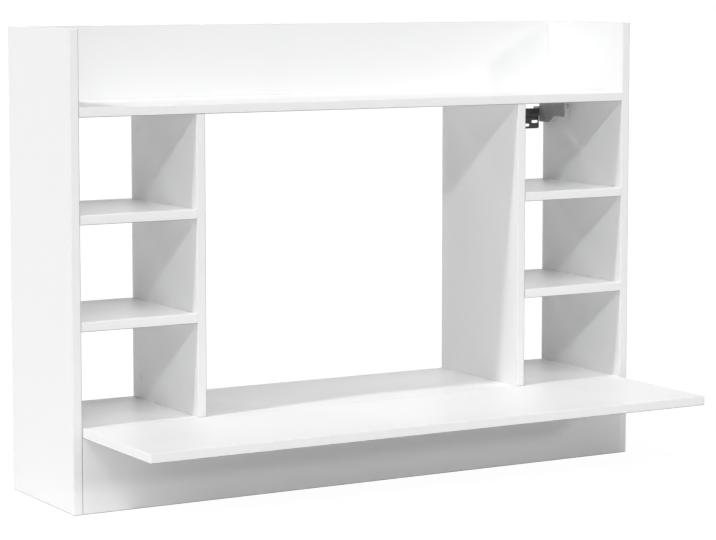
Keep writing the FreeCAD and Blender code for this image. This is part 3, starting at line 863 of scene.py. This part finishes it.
def fit(piece, node, seats, tree, sizes, degrees=35):
    """Replace a CAD node by the plain mesh that a tree makes on the seats."""
    carrier = add_object(piece + "_seats", seat_mesh(piece + "_seats", seats))
    modifier = carrier.modifiers.new(piece, "NODES")
    modifier.node_group = tree.group
    for item in tree.group.interface.items_tree:
        if item.in_out == "INPUT" and item.name in sizes:
            modifier[item.identifier] = sizes[item.name]
    mesh = finished(carrier)
    mesh.name = piece
    for direction in ("facing", "into"):
        if direction in mesh.attributes:
            mesh.attributes.remove(mesh.attributes[direction])
    place_piece(piece, smooth(mesh, degrees), node)


@functools.lru_cache(maxsize=None)
def islands(node):
    """Lowest and highest corners of each separate solid of a CAD node."""
    bm = bmesh.new()
    bm.from_mesh(frame["nodes"][node].data)
    bmesh.ops.remove_doubles(bm, verts=bm.verts, dist=WELD)
    found = []
    left = set(bm.verts)
    while left:
        stack = [left.pop()]
        points = []
        while stack:
            vertex = stack.pop()
            points.append(vertex.co.copy())
            for edge in vertex.link_edges:
                other = edge.other_vert(vertex)
                if other in left:
                    left.remove(other)
                    stack.append(other)
        found.append(tuple(Vector(pick(p[axis] for p in points) for axis in range(3))
                           for pick in (min, max)))
    bm.free()
    found.sort(key=lambda pair: tuple(round(value, 5) for value in pair[0]))
    return found


def middles(node):
    """Middle of each separate solid of a CAD node."""
    return [(low + high) / 2 for low, high in islands(node)]


def span_of(node):
    """Size of the first solid of a CAD node."""
    low, high = islands(node)[0]
    return high - low


def nearest_to(point, places):
    """The place nearest to a point."""
    return min(places, key=lambda place: (place - point).length)


def board_around(point):
    """Box of the board that holds a point."""
    return next(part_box(node) for node in BOARDS if inside(point, *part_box(node)))


def widest(span):
    """Axis that a box is longest along."""
    return max(range(3), key=lambda axis: span[axis])


def thinnest(span):
    """Axis that a box is shortest along."""
    return min(range(3), key=lambda axis: span[axis])


def seats_of(node, direction, along=widest):
    """Seats at one end of each solid, facing along it. direction says which way, 1 or -1."""
    seats = []
    for low, high in islands(node):
        axis = along(high - low)
        origin = (low + high) / 2
        sign = direction(origin, axis)
        origin[axis] = (low if sign > 0 else high)[axis]
        seats.append(Seat(origin, AXES[axis] * sign, AXES[(axis + 1) % 3]))
    return seats


def towards_cam(centre, axis):
    """A cam bolt runs from its thread towards the cam that holds it."""
    return 1 if nearest_to(centre, middles("cam_locks"))[axis] > centre[axis] else -1


def off_cam(centre, axis):
    """A cover cap faces away from the cam under it."""
    return -towards_cam(centre, axis)


def outwards(centre, axis):
    """A screw along X runs outwards into a side panel, another one backwards or upwards."""
    return -1 if axis == 0 and centre.x < 0 else 1


def cap_tree():
    """Cover cap with a rounded rim and a shallow dome."""
    tree = Tree("cover_cap", ["Sides"], ["Radius", "Rim"])
    sides, radius, rim = tree.sizes
    steps = [(tree.times(rim, rise), tree.times(radius, reach)) for rise, reach in CAP_CROWN]
    return tree.on_seats(tree.turned(sides, radius, tree.times(rim, CAP_BASE), steps),
                         white_plastic())


def cam_seats():
    """Cams: at the open face of their bores, pointing at their bolts."""
    seats = []
    for low, high in islands("cam_locks"):
        centre = (low + high) / 2
        axis = thinnest(high - low)
        start, end = board_around(centre)
        sign = 1 if centre[axis] > (start[axis] + end[axis]) / 2 else -1
        origin = centre.copy()
        origin[axis] = (high if sign > 0 else low)[axis]
        way = nearest_to(centre, middles("cam_bolts")) - origin
        way[axis] = 0.0
        seats.append(Seat(origin, AXES[axis] * sign, way.normalized()))
    return seats


def cam_tree():
    """Cast cam: chamfered drum, dished face, crossed driver slots and the bolt's pocket."""
    tree = Tree("cam", ["Sides"], ["Radius", "Height", "Slot width"])
    sides, radius, height, slot = tree.sizes
    chamfer = tree.times(radius, CAM_CHAMFER)
    steps = [(tree.times(chamfer, rise), tree.times(radius, reach)) for rise, reach in CAM_FACE]
    drum = tree.turned(sides, radius, tree.math("SUBTRACT", height, chamfer), steps)
    drum = tree.move(drum, tree.vector(z=tree.times(height, -1.0)))
    reach, shallow, deep = (tree.times(size, share) for size, share in
                            zip((radius, height, height), CAM_CROSS))
    cross = [tree.block(reach, slot, shallow), tree.block(slot, reach, deep)]
    pocket_length, pocket_depth = CAM_POCKET
    pocket = tree.move(tree.block(tree.times(radius, pocket_length), radius, radius),
                       tree.vector(x=radius, z=tree.times(height, -pocket_depth)))
    return tree.on_seats(tree.less(drum, *cross, pocket), cast_zinc())


def bolt_tree():
    """Cam bolt: ringed wood thread, collar, shank and a ball end."""
    tree = Tree("cam_bolt", ["Sides"], ["Length", "Shank radius", "Pitch"])
    sides, length, shank, pitch = tree.sizes
    radii = {"shank": shank, "crest": tree.times(shank, THREAD_CREST),
             "root": tree.times(shank, THREAD_ROOT)}
    half = tree.times(pitch, 0.5)
    rest = tree.math("SUBTRACT", length, tree.times(pitch, BOLT_TURNS + 0.5))
    steps = [(half, radii["crest"]), (half, radii["root"])] * BOLT_TURNS
    steps += [(tree.times(rest, rise), radii[name]) for rise, name in BOLT_END]
    return tree.on_seats(tree.turned(sides, radii["root"], half, steps), bright_steel())


def dowel_tree():
    """Beech dowel with fluted sides and chamfered ends."""
    tree = Tree("dowel", ["Flutes"], ["Radius", "Length", "Flute depth"])
    flutes, radius, length, depth = tree.sizes
    chamfer = tree.times(radius, DOWEL_CHAMFER)
    body = tree.math("SUBTRACT", length, tree.times(chamfer, 2.0))
    nose = tree.times(radius, 1.0 - DOWEL_CHAMFER)
    rod = tree.turned(tree.times(flutes, 2), nose, POINTED,
                      [(chamfer, radius), (body, radius), (chamfer, nose)])
    place = tree.node("ShaderNodeSeparateXYZ")
    tree.feed(tree.fed("GeometryNodeInputPosition", {}), place.inputs["Vector"])
    x, y = place.outputs["X"], place.outputs["Y"]
    wave = tree.math("COSINE", tree.times(tree.math("ARCTAN2", y, x), flutes))
    inwards = tree.math("DIVIDE", tree.times(depth, tree.math("SUBTRACT", wave, 1.0)),
                        tree.times(radius, 2.0))
    push = tree.fed("ShaderNodeVectorMath", {0: tree.vector(x, y), "Scale": inwards},
                    operation="SCALE")
    fluted = tree.fed("GeometryNodeSetPosition", {"Geometry": rod, "Offset": push})
    return tree.on_seats(fluted, beech())


def link_tree():
    """Crescent link of a barrel hinge."""
    tree = Tree("hinge_link", [], ["Inner radius", "Outer radius", "Sweep", "Thickness"])
    return tree.on_seats(tree.crescent(*tree.sizes), hinge_brass())


def barrel_tree():
    """Hinge barrel: ridged brass plug with the slot that its links turn in."""
    tree = Tree("hinge_barrel", ["Sides"], ["Radius", "Depth", "Drop", "Gap", "Inner radius",
                                            "Outer radius", "Sweep", "Slot width"])
    sides, radius, depth, drop, gap, *slot = tree.sizes
    collar = tree.times(depth, BARREL_COLLAR)
    groove = tree.times(radius, BARREL_GROOVE)
    ridge = tree.math("DIVIDE", tree.math("SUBTRACT", depth, collar), 2.0 * BARREL_RIDGES + 1.0)
    steps = [(0.0, groove), (ridge, groove), (0.0, radius), (ridge, radius)] * BARREL_RIDGES
    steps.append((ridge, tree.times(radius, BARREL_NOSE)))
    plug = tree.move(tree.turned(sides, radius, collar, steps), tree.vector(x=drop, y=gap),
                     turn=(-math.pi / 2, 0, 0))
    return tree.on_seats(tree.less(plug, tree.crescent(*slot)), hinge_brass())


def hinge_seats(node, side=1):
    """Parts of the hinges: on the hinge axis, local X down, local Y into that side's board."""
    hinge = next(joint for joint in frame["joints"] if joint["name"] == "leaf_fold")
    seats = []
    for centre in middles(node):
        origin = Vector(hinge["pos_m"])
        origin.x = centre.x
        seats.append(Seat(origin, AXES[0] * side, -AXES[2]))
    return seats


class DESK_OT_cover_caps(bpy.types.Operator):
    """Make the cover caps over the cams"""
    bl_idname = "desk.cover_caps"
    bl_label = "Cover caps"

    def execute(self, context):
        settings = context.scene.desk_fittings
        fit("cover_caps", "cam_cover_caps",
            seats_of("cam_cover_caps", off_cam, along=thinnest), cap_tree(), {
                "Sides": settings.sides, "Radius": max(span_of("cam_cover_caps")) / 2,
                "Rim": settings.cap_rim})
        return {"FINISHED"}


class DESK_OT_cams(bpy.types.Operator):
    """Make the cams and their bolts"""
    bl_idname = "desk.cams"
    bl_label = "Cams and bolts"

    def execute(self, context):
        settings = context.scene.desk_fittings
        cam, bolt = span_of("cam_locks"), span_of("cam_bolts")
        fit("cams", "cam_locks", cam_seats(), cam_tree(), {
            "Sides": settings.sides, "Radius": max(cam) / 2, "Height": min(cam),
            "Slot width": settings.cam_slot})
        fit("bolts", "cam_bolts", seats_of("cam_bolts", towards_cam),
            bolt_tree(), {
                "Sides": settings.sides // 2, "Length": max(bolt),
                "Shank radius": min(bolt) / 2, "Pitch": settings.thread_pitch})
        return {"FINISHED"}


class DESK_OT_dowels(bpy.types.Operator):
    """Make the dowels"""
    bl_idname = "desk.dowels"
    bl_label = "Dowels"

    def execute(self, context):
        settings = context.scene.desk_fittings
        dowel = span_of("dowels")
        fit("beech_dowels", "dowels", seats_of("dowels", lambda centre, axis: 1),
            dowel_tree(), {
                "Flutes": settings.flutes, "Radius": min(dowel) / 2, "Length": max(dowel),
                "Flute depth": settings.flute_depth}, degrees=20)
        return {"FINISHED"}


class DESK_OT_hinges(bpy.types.Operator):
    """Make the barrels and links of the leaf's hinges"""
    bl_idname = "desk.hinges"
    bl_label = "Leaf hinges"

    def execute(self, context):
        settings = context.scene.desk_fittings
        thickness = min(span_of("hinge_links"))
        fit("links", "hinge_links", hinge_seats("hinge_links"), link_tree(), {
            "Inner radius": settings.link_inner, "Outer radius": settings.link_outer,
            "Sweep": settings.link_sweep, "Thickness": thickness})
        pivot = hinge_seats("hinge_links")[0].origin
        for node, side in (("desk_hinge_barrels", 1), ("leaf_hinge_barrels", -1)):
            low, high = islands(node)[0]
            fit(node + "_turned", node, hinge_seats(node, side), barrel_tree(), {
                "Sides": settings.sides, "Radius": settings.barrel_radius,
                "Depth": high.y - low.y, "Drop": pivot.z - (low.z + high.z) / 2,
                "Gap": min(abs(low.y - pivot.y), abs(high.y - pivot.y)),
                "Inner radius": settings.link_inner - LINK_PLAY,
                "Outer radius": settings.link_outer + LINK_PLAY, "Sweep": BARREL_SWEEP,
                "Slot width": LINKS_IN_SLOT * thickness + SLOT_PLAY})
        return {"FINISHED"}


# --- pressed and cut metalwork of the hangers -------------------------------------------------
def rounded(points, radius, steps=BEND_STEPS):
    """A closed outline with arcs of that radius at its corners."""
    outline = []
    count = len(points)
    for index, point in enumerate(points):
        corner = Vector(point)
        before = Vector(points[index - 1]) - corner
        after = Vector(points[(index + 1) % count]) - corner
        half = before.angle(after) / 2
        reach = min(radius / math.tan(half), before.length / 2, after.length / 2)
        if half > STRAIGHT:
            outline.append(tuple(corner))
            continue
        start = corner + before.normalized() * reach
        middle = before.normalized() + after.normalized()
        centre = corner + middle.normalized() * reach / math.cos(half)
        turn = 1 if before.x * after.y - before.y * after.x < 0 else -1
        arm = start - centre
        for step in range(steps + 1):
            angle = turn * (math.pi - 2 * half) * step / steps
            outline.append((centre.x + arm.x * math.cos(angle) - arm.y * math.sin(angle),
                            centre.y + arm.x * math.sin(angle) + arm.y * math.cos(angle)))
    return outline


def circle(centre, radius, sides=32):
    """Outline of a circle."""
    return [(centre[0] + radius * math.cos(2 * math.pi * step / sides),
             centre[1] + radius * math.sin(2 * math.pi * step / sides)) for step in range(sides)]


def long_round(centre, length, width, upright=False):
    """Outline of a round-ended slot, along its first direction or upright."""
    u, v = (width / 2, length / 2) if upright else (length / 2, width / 2)
    ends = box_outline((centre[0] - u, centre[1] - v), (centre[0] + u, centre[1] + v))
    return rounded(ends, width / 2, steps=10)


def box_outline(low, high):
    """Outline of a rectangle."""
    return [(low[0], low[1]), (high[0], low[1]), (high[0], high[1]), (low[0], high[1])]


def lofted(axis, rings):
    """A solid along an axis, from rings: a place on it, and an outline in the two axes after."""
    bm = bmesh.new()
    loops = [[bm.verts.new(at(axis, value, *point)) for point in outline]
             for value, outline in rings]
    bm.faces.new(loops[0])
    bm.faces.new(loops[-1])
    for near, far in zip(loops, loops[1:]):
        for index, vertex in enumerate(near):
            after = (index + 1) % len(near)
            bm.faces.new((vertex, near[after], far[after], far[index]))
    bmesh.ops.recalc_face_normals(bm, faces=bm.faces)
    return mesh_from(bm, "lofted")


def prism(axis, outline, start, end):
    """A straight solid along an axis."""
    return lofted(axis, [(start, outline), (end, outline)])


def crowned(axis, shape, start, end, radius, steps=4):
    """A straight solid whose start is rounded. shape gives its outline shrunk by a length."""
    way = 1 if end > start else -1
    rings = []
    for step in range(steps + 1):
        angle = math.pi / 2 * step / steps
        rings.append((start + way * radius * (1 - math.cos(angle)),
                      shape(radius * (1 - math.sin(angle)))))
    return lofted(axis, rings + [(end, shape(0.0))])


def mesh_from(bm, name):
    """A plain mesh from a bmesh, which is freed."""
    mesh = bpy.data.meshes.new(name)
    bm.to_mesh(mesh)
    bm.free()
    return mesh


def worked(mesh, steps=(), bevel=0.0, degrees=40):
    """The mesh after booleans, each (operation, mesh), and with its sharp corners broken."""
    item = add_object("work", mesh)
    tools = []
    for operation, other in steps:
        tools.append(add_object("tool", other))
        step = item.modifiers.new(operation, "BOOLEAN")
        step.operation, step.object, step.solver = operation, tools[-1], "EXACT"
    if bevel:
        item.modifiers.new("weld", "WELD").merge_threshold = WELD
        step = item.modifiers.new("bevel", "BEVEL")
        step.width, step.segments = bevel, 2
        step.limit_method, step.angle_limit = "ANGLE", math.radians(degrees)
    return finished(item, *tools)


def mirrored(mesh, side):
    """The mesh as it is for the right side, or its mirror image for the left."""
    if side < 0:
        bm = bmesh.new()
        bm.from_mesh(mesh)
        bmesh.ops.scale(bm, vec=(-1, 1, 1), verts=bm.verts)
        bmesh.ops.reverse_faces(bm, faces=bm.faces)
        mesh = mesh_from(bm, "mirrored")
    return mesh


def cad_copy(node):
    """A merged copy of a CAD node's mesh, with its flat faces whole."""
    bm = bmesh.new()
    bm.from_mesh(frame["nodes"][node].data)
    bmesh.ops.remove_doubles(bm, verts=bm.verts, dist=WELD)
    bmesh.ops.dissolve_limit(bm, angle_limit=math.radians(1), verts=bm.verts, edges=bm.edges)
    return mesh_from(bm, node)


def metal_pair(part, mesh, material):
    """Give a right-hand metal mesh its material and place it and its mirror image."""
    for word, side in SIDES.items():
        node = part + word
        made = mirrored(mesh, side)
        made.materials.clear()
        made.materials.append(material)
        made = smooth(made, degrees=30)
        # Mark the faces that do not face along X. Zinc steel paints a reflection of the bright studio on them.
        painted_reflection_marks = made.attributes.new("painted_reflection", "FLOAT", "FACE")
        for face, mark in zip(made.polygons, painted_reflection_marks.data):
            mark.value = 1.0 if abs(face.normal.x) < 0.5 else 0.0
        place_piece(node + "_made", made, node)


def plate_profile(low, high, settings):
    """Side view of a wall plate: flat with a pressed ridge, then a step out to the lip."""
    lip = low.y + settings.plate_sheet
    back = high.y
    ridge, half = settings.ridge_level, settings.ridge_width / 2
    groove = high.z - settings.ridge_width
    wall = [(back, low.z), (back, ridge - half), (back - settings.ridge_height, ridge),
            (back, ridge + half), (back, settings.step_low), (lip, settings.step_high),
            (lip, groove - half), (lip + settings.groove_depth, groove),
            (lip, groove + half), (lip, high.z)]
    front = [(y - settings.plate_sheet, z) for y, z in reversed(wall)]
    ends = (0, len(wall) - 1, len(wall), 2 * len(wall) - 1)
    outline = []
    points = wall + front
    for index, point in enumerate(points):
        if index in ends:
            outline.append(point)
        else:
            trio = [points[index - 1], point, points[(index + 1) % len(points)]]
            bend = slice(BEND_STEPS + 1, 2 * BEND_STEPS + 2)
            outline += rounded(trio, settings.bend_radius)[bend]
    return outline


def plate_mesh(low, high, settings):
    """Wall plate for the right side: slots alternately high and low from its outer end."""
    sheet = prism(0, plate_profile(low, high, settings), low.x - OVER, high.x + OVER)
    front, behind = low.y - OVER, high.y + OVER
    blank = [(low.z, low.x), (high.z + OVER, low.x), (high.z + OVER, high.x), (low.z, high.x)]
    corner = rounded(blank, settings.plate_corner, steps=6)
    steps = [("INTERSECT", prism(1, corner, front, behind))]
    for index in range(3):
        x = high.x - settings.slot_end - index * settings.slot_pitch
        z = -settings.slot_rows * (index % 2)
        slot = long_round((z, x), settings.slot_length, settings.slot_height, upright=True)
        steps.append(("DIFFERENCE", prism(1, slot, front, behind)))
    return worked(sheet, steps, bevel=settings.sheet_edge)


def casing_outline(low, high, inset, settings):
    """Side view of a casing, shrunk by inset: shallow in front, deep behind a slant."""
    deep = high.z - settings.casing_rear_height
    shallow = high.z - settings.casing_front_height
    slant = math.atan2(shallow - deep, settings.casing_slope)
    shift = inset * math.tan(slant / 2)
    turn = high.y - settings.casing_rear_length + shift
    points = [(low.y + inset, high.z - inset), (high.y - inset, high.z - inset),
              (high.y - inset, deep + inset), (turn, deep + inset),
              (turn - settings.casing_slope, shallow + inset), (low.y + inset, shallow + inset)]
    return rounded(points, max(settings.casing_corner - inset, settings.sheet_edge))


def casing_mesh(low, high, settings):
    """Casing for the right side: pressed shell with beads, rivets, screw cup and spigots."""
    sheet = settings.casing_sheet
    face, panel = low.x, low.x + settings.casing_width
    screw = panel - settings.screw_inset
    cup = (low.y + settings.cup_inset, high.z - settings.cup_drop)
    steps = [("DIFFERENCE", prism(0, casing_outline(low, high, sheet, settings), face + sheet,
                                  panel + OVER))]

    def add(axis, outline, start, end):
        steps.append(("UNION", prism(axis, outline, start, end)))

    def stud(shape, start, end, radius):
        steps.append(("UNION", crowned(0, shape, start, end, radius)))

    def cut(axis, outline, start, end):
        steps.append(("DIFFERENCE", prism(axis, outline, start, end)))

    add(0, circle(cup, settings.cup_radius), face + sheet / 2, panel)
    cut(0, circle(cup, settings.cup_radius - sheet), face - OVER, panel - sheet)
    cut(0, circle(cup, settings.fixing_thread + settings.hole_play), face - OVER, panel + OVER)
    for place in (0, 1):
        spot = (high.y - settings.spigot_rear - place * settings.spigot_pitch,
                high.z - sheet - settings.spigot_radius - settings.spigot_margin)
        tab = settings.spigot_tab
        low_edge = spot[1] - settings.spigot_radius - settings.spigot_margin
        add(0, box_outline((spot[0] - tab, low_edge), (spot[0] + tab, high.z - sheet / 2)),
            panel - sheet, panel - settings.hole_play)
        stud(lambda inset, spot=spot: circle(spot, settings.spigot_radius - inset, 24),
             high.x, panel - sheet / 2, sheet / 2)
    swing = settings.hook_swing
    cut(2, box_outline((screw - settings.arm_slot / 2, high.y - 2 * sheet),
                       (screw + settings.arm_slot / 2, high.y + OVER)),
        settings.arm_low - swing, settings.arm_high + swing)
    neck = settings.adjuster_neck + settings.hole_play
    cut(1, circle((high.z - settings.depth_drop, screw), neck), low.y - OVER, low.y + 2 * sheet)
    floor = high.z - settings.casing_rear_height
    opening = settings.adjuster_head + settings.driver_room
    driver = high.y - settings.height_inset + settings.depth_travel / 2
    cut(2, long_round((screw, driver), 2 * opening + settings.depth_travel, 2 * opening,
                      upright=True), floor - OVER, floor + 2 * sheet)
    raised = settings.bead_height
    width, length, height = settings.bead_width, high.y - low.y, settings.casing_rear_height
    along, drop, reach = TOP_BEAD
    beads = [(low.y + length * along, high.z - height * drop, length * reach, False)]
    along, drop, reach = REAR_BEAD
    beads.append((high.y - length * along, high.z - height * drop, height * reach, True))
    for y, z, reach, upright in beads:
        stud(lambda inset, spot=(y, z), long=reach, up=upright: long_round(
            spot, long - 2 * inset, width - 2 * inset, up), face - raised, face + sheet / 2,
             raised)
    for along, drop in RIVETS:
        spot = (high.y - length * along, high.z - height * drop)
        stud(lambda inset, spot=spot: circle(spot, settings.rivet_radius - inset, 20),
             face - RIVET_RISE * raised, face + sheet / 2, RIVET_RISE * raised)
    rim = settings.casing_edge
    shell = crowned(0, lambda inset: casing_outline(low, high, inset, settings), face, panel, rim)
    return worked(shell, steps, bevel=settings.sheet_edge, degrees=55)


class DESK_OT_wall_plates(bpy.types.Operator):
    """Make the slotted wall plates"""
    bl_idname = "desk.wall_plates"
    bl_label = "Wall plates"

    def execute(self, context):
        mesh = plate_mesh(*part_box("wall_plate_right"), context.scene.desk_hangers)
        metal_pair("wall_plate_", mesh, galvanised_steel())
        return {"FINISHED"}


class DESK_OT_hangers(bpy.types.Operator):
    """Make the hangers' casings, carriages and hooks"""
    bl_idname = "desk.hangers"
    bl_label = "Hangers"

    def execute(self, context):
        settings = context.scene.desk_hangers
        casing = casing_mesh(*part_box("hanger_casing_right"), settings)
        metal_pair("hanger_casing_", casing, zinc_steel())
        for part, edge in (("hanger_carriage_", settings.sheet_edge),
                           ("hanger_hook_", settings.hook_edge)):
            mesh = worked(cad_copy(part + "right"), bevel=edge)
            metal_pair(part, mesh, zinc_steel())
        return {"FINISHED"}


def screw_tree(turns):
    """Slotted screw: domed head, neck, collar and a ringed thread."""
    tree = Tree("slotted_screw", ["Sides"], [
        "Head radius", "Head height", "Neck radius", "Neck length", "Collar radius",
        "Collar length", "Thread radius", "Thread length", "Slot width", "Slot depth"])
    (sides, head, head_height, neck, neck_length, collar, collar_length, thread, thread_length,
     slot, slot_depth) = tree.sizes
    crown = tree.times(head_height, SCREW_CROWN)
    half = tree.math("DIVIDE", thread_length, 2.0 * turns)
    root = tree.times(thread, SCREW_ROOT)
    steps = [(crown, head), (tree.math("SUBTRACT", head_height, crown), head), (0.0, neck),
             (neck_length, neck), (0.0, collar), (collar_length, collar), (0.0, root)]
    steps += [(half, thread), (half, root)] * turns
    screw = tree.turned(sides, tree.times(head, SCREW_TOP), POINTED, steps)
    cut = tree.block(tree.times(head, 3.0), slot, tree.times(slot_depth, 2.0))
    return tree.on_seats(tree.less(screw, cut), bright_steel())


class DESK_OT_screws(bpy.types.Operator):
    """Make the hangers' fixing and adjusting screws"""
    bl_idname = "desk.screws"
    bl_label = "Hanger screws"

    def execute(self, context):
        settings = context.scene.desk_hangers
        both = {"Sides": SCREW_SIDES, "Slot width": settings.driver_slot,
                "Slot depth": settings.driver_depth, "Neck length": settings.casing_sheet,
                "Collar length": settings.collar_length}
        fixing = {**both, "Head radius": settings.fixing_head,
                  "Head height": settings.fixing_head_height,
                  "Neck radius": settings.fixing_thread,
                  "Collar radius": settings.fixing_thread + settings.hole_play,
                  "Thread radius": settings.fixing_thread}
        adjusting = {**both, "Head radius": settings.adjuster_head,
                     "Head height": settings.adjuster_head_height,
                     "Neck radius": settings.adjuster_neck,
                     "Collar radius": settings.adjuster_head,
                     "Thread radius": settings.adjuster_thread}
        for node, sizes, turns in (("casing_screws", fixing, 7), ("depth_screws", adjusting, 24),
                                   ("height_screws", adjusting, 18)):
            used = sizes["Head height"] + sizes["Neck length"] + sizes["Collar length"]
            fit(node + "_made", node, seats_of(node, outwards),
                screw_tree(turns), {**sizes, "Thread length": max(span_of(node)) - used})
        return {"FINISHED"}


# --- studio ------------------------------------------------------------------------------
def aim(azimuth, elevation):
    """Turn of a lamp whose light comes from that azimuth, left of the front, and elevation."""
    source = Vector((-math.sin(azimuth) * math.cos(elevation),
                     -math.cos(azimuth) * math.cos(elevation), math.sin(elevation)))
    return source.to_track_quat("Z", "Y").to_euler()


def add_lamp(name, strength, azimuth, elevation, softness):
    """A far lamp, given by where its light comes from."""
    lamp = bpy.data.lights.new(name, "SUN")
    lamp.energy = strength
    lamp.angle = math.radians(softness)
    add_object(name, lamp).rotation_euler = aim(math.radians(azimuth), math.radians(elevation))


def plain_shader(tree, kind, strength):
    """A new white shader of that strength, as its output."""
    return tree.fed(kind, {"Color": (1, 1, 1, 1), "Strength": strength})


def make_world(strength):
    """White to look at, and even soft light on the desk."""
    world = bpy.data.worlds.new("studio")
    bpy.context.scene.world = world
    world.use_nodes = True
    tree = Nodes(world.node_tree)
    tree.show(plain_shader(tree, "ShaderNodeBackground", 1.0),
              plain_shader(tree, "ShaderNodeBackground", strength), 1.0, "World Output")


def floor_material(colour, share, strength):
    """Pale matt floor, lifted to white where it is seen, so only the shadow shows."""
    finish = Finish("studio_floor_finish")
    grain = finish.noise(finish.place(), 300)
    material = finish.done(finish.blend(grain, shaded(colour, 0.995), colour), 0.9)
    finish.show(plain_shader(finish, "ShaderNodeEmission", strength), finish.shader.outputs[0],
                share, "Material Output")
    return material


class DESK_OT_stage(bpy.types.Operator):
    """Set up the floor, lamps, world and camera"""
    bl_idname = "desk.stage"
    bl_label = "Studio"

    def execute(self, context):
        settings = context.scene.desk_stage
        mesh = bpy.data.meshes.new("floor")
        corners = box_outline((-FLOOR_REACH, -FLOOR_REACH), (FLOOR_REACH, FLOOR_REACH))
        mesh.from_pydata([(x, y, CAD_BOX[0][2]) for x, y in corners], [], [(0, 1, 2, 3)])
        mesh.materials.append(floor_material(settings.floor_colour, settings.floor_lift,
                                             settings.floor_glow))
        floor = add_object("floor", mesh)
        for name, azimuth, elevation, softness, strength in LAMPS:
            add_lamp(name, strength * settings.lamp_strength, azimuth, elevation, softness)
        for azimuth, strength in STRIP_LAMPS:
            elevation = math.degrees(math.atan(STRIP_SLOPE * math.cos(math.radians(azimuth))))
            add_lamp(f"strip_lamp_{azimuth}", strength * settings.lamp_strength, azimuth,
                     elevation, STRIP_SOFTNESS)
        make_world(settings.world_strength)
        camera = bpy.data.cameras.new("camera")
        camera.sensor_fit = "HORIZONTAL"
        camera.sensor_width = SENSOR_WIDTH
        camera.lens = settings.camera_lens
        camera.shift_y = settings.camera_shift
        camera.clip_end = 5 * FLOOR_REACH
        viewer = add_object("camera", camera)
        viewer.location = settings.camera_place
        viewer.rotation_euler = (math.pi / 2 - settings.camera_pitch, 0, -settings.camera_yaw)
        context.scene.camera = viewer
        context.scene.view_settings.view_transform = "Standard"
        return {"FINISHED"}


# --- add-on ------------------------------------------------------------------------------
class DESK_PT_panel(bpy.types.Panel):
    """Settings and steps of the desk"""
    bl_label = "Wall desk"
    bl_idname = "DESK_PT_panel"
    bl_space_type = "VIEW_3D"
    bl_region_type = "UI"
    bl_category = "Desk"

    def draw(self, context):
        scene = context.scene
        for group in SETTINGS:
            settings = getattr(scene, group)
            box = self.layout.box()
            for name in settings.bl_rna.properties.keys():
                if name not in ("rna_type", "name"):
                    box.prop(settings, name)
        for step in STEPS:
            self.layout.operator(step.bl_idname)


STEPS = (DESK_OT_boards, DESK_OT_leaf, DESK_OT_cover_caps, DESK_OT_cams, DESK_OT_dowels,
         DESK_OT_hinges, DESK_OT_hangers, DESK_OT_screws, DESK_OT_wall_plates, DESK_OT_stage)
SETTINGS = {"desk_boards": DeskBoardSettings, "desk_fittings": DeskFittingSettings,
            "desk_hangers": DeskHangerSettings, "desk_stage": DeskStageSettings}
CLASSES = (*SETTINGS.values(), *STEPS, DESK_PT_panel)


def register():
    for item in CLASSES:
        bpy.utils.register_class(item)
    for group, kind in SETTINGS.items():
        setattr(bpy.types.Scene, group, PointerProperty(type=kind))


def unregister():
    for group in SETTINGS:
        delattr(bpy.types.Scene, group)
    for item in reversed(CLASSES):
        bpy.utils.unregister_class(item)


def main():
    register()
    for step in STEPS:
        group, name = step.bl_idname.split(".")
        getattr(getattr(bpy.ops, group), name)()


if __name__ == "__main__":
    main()
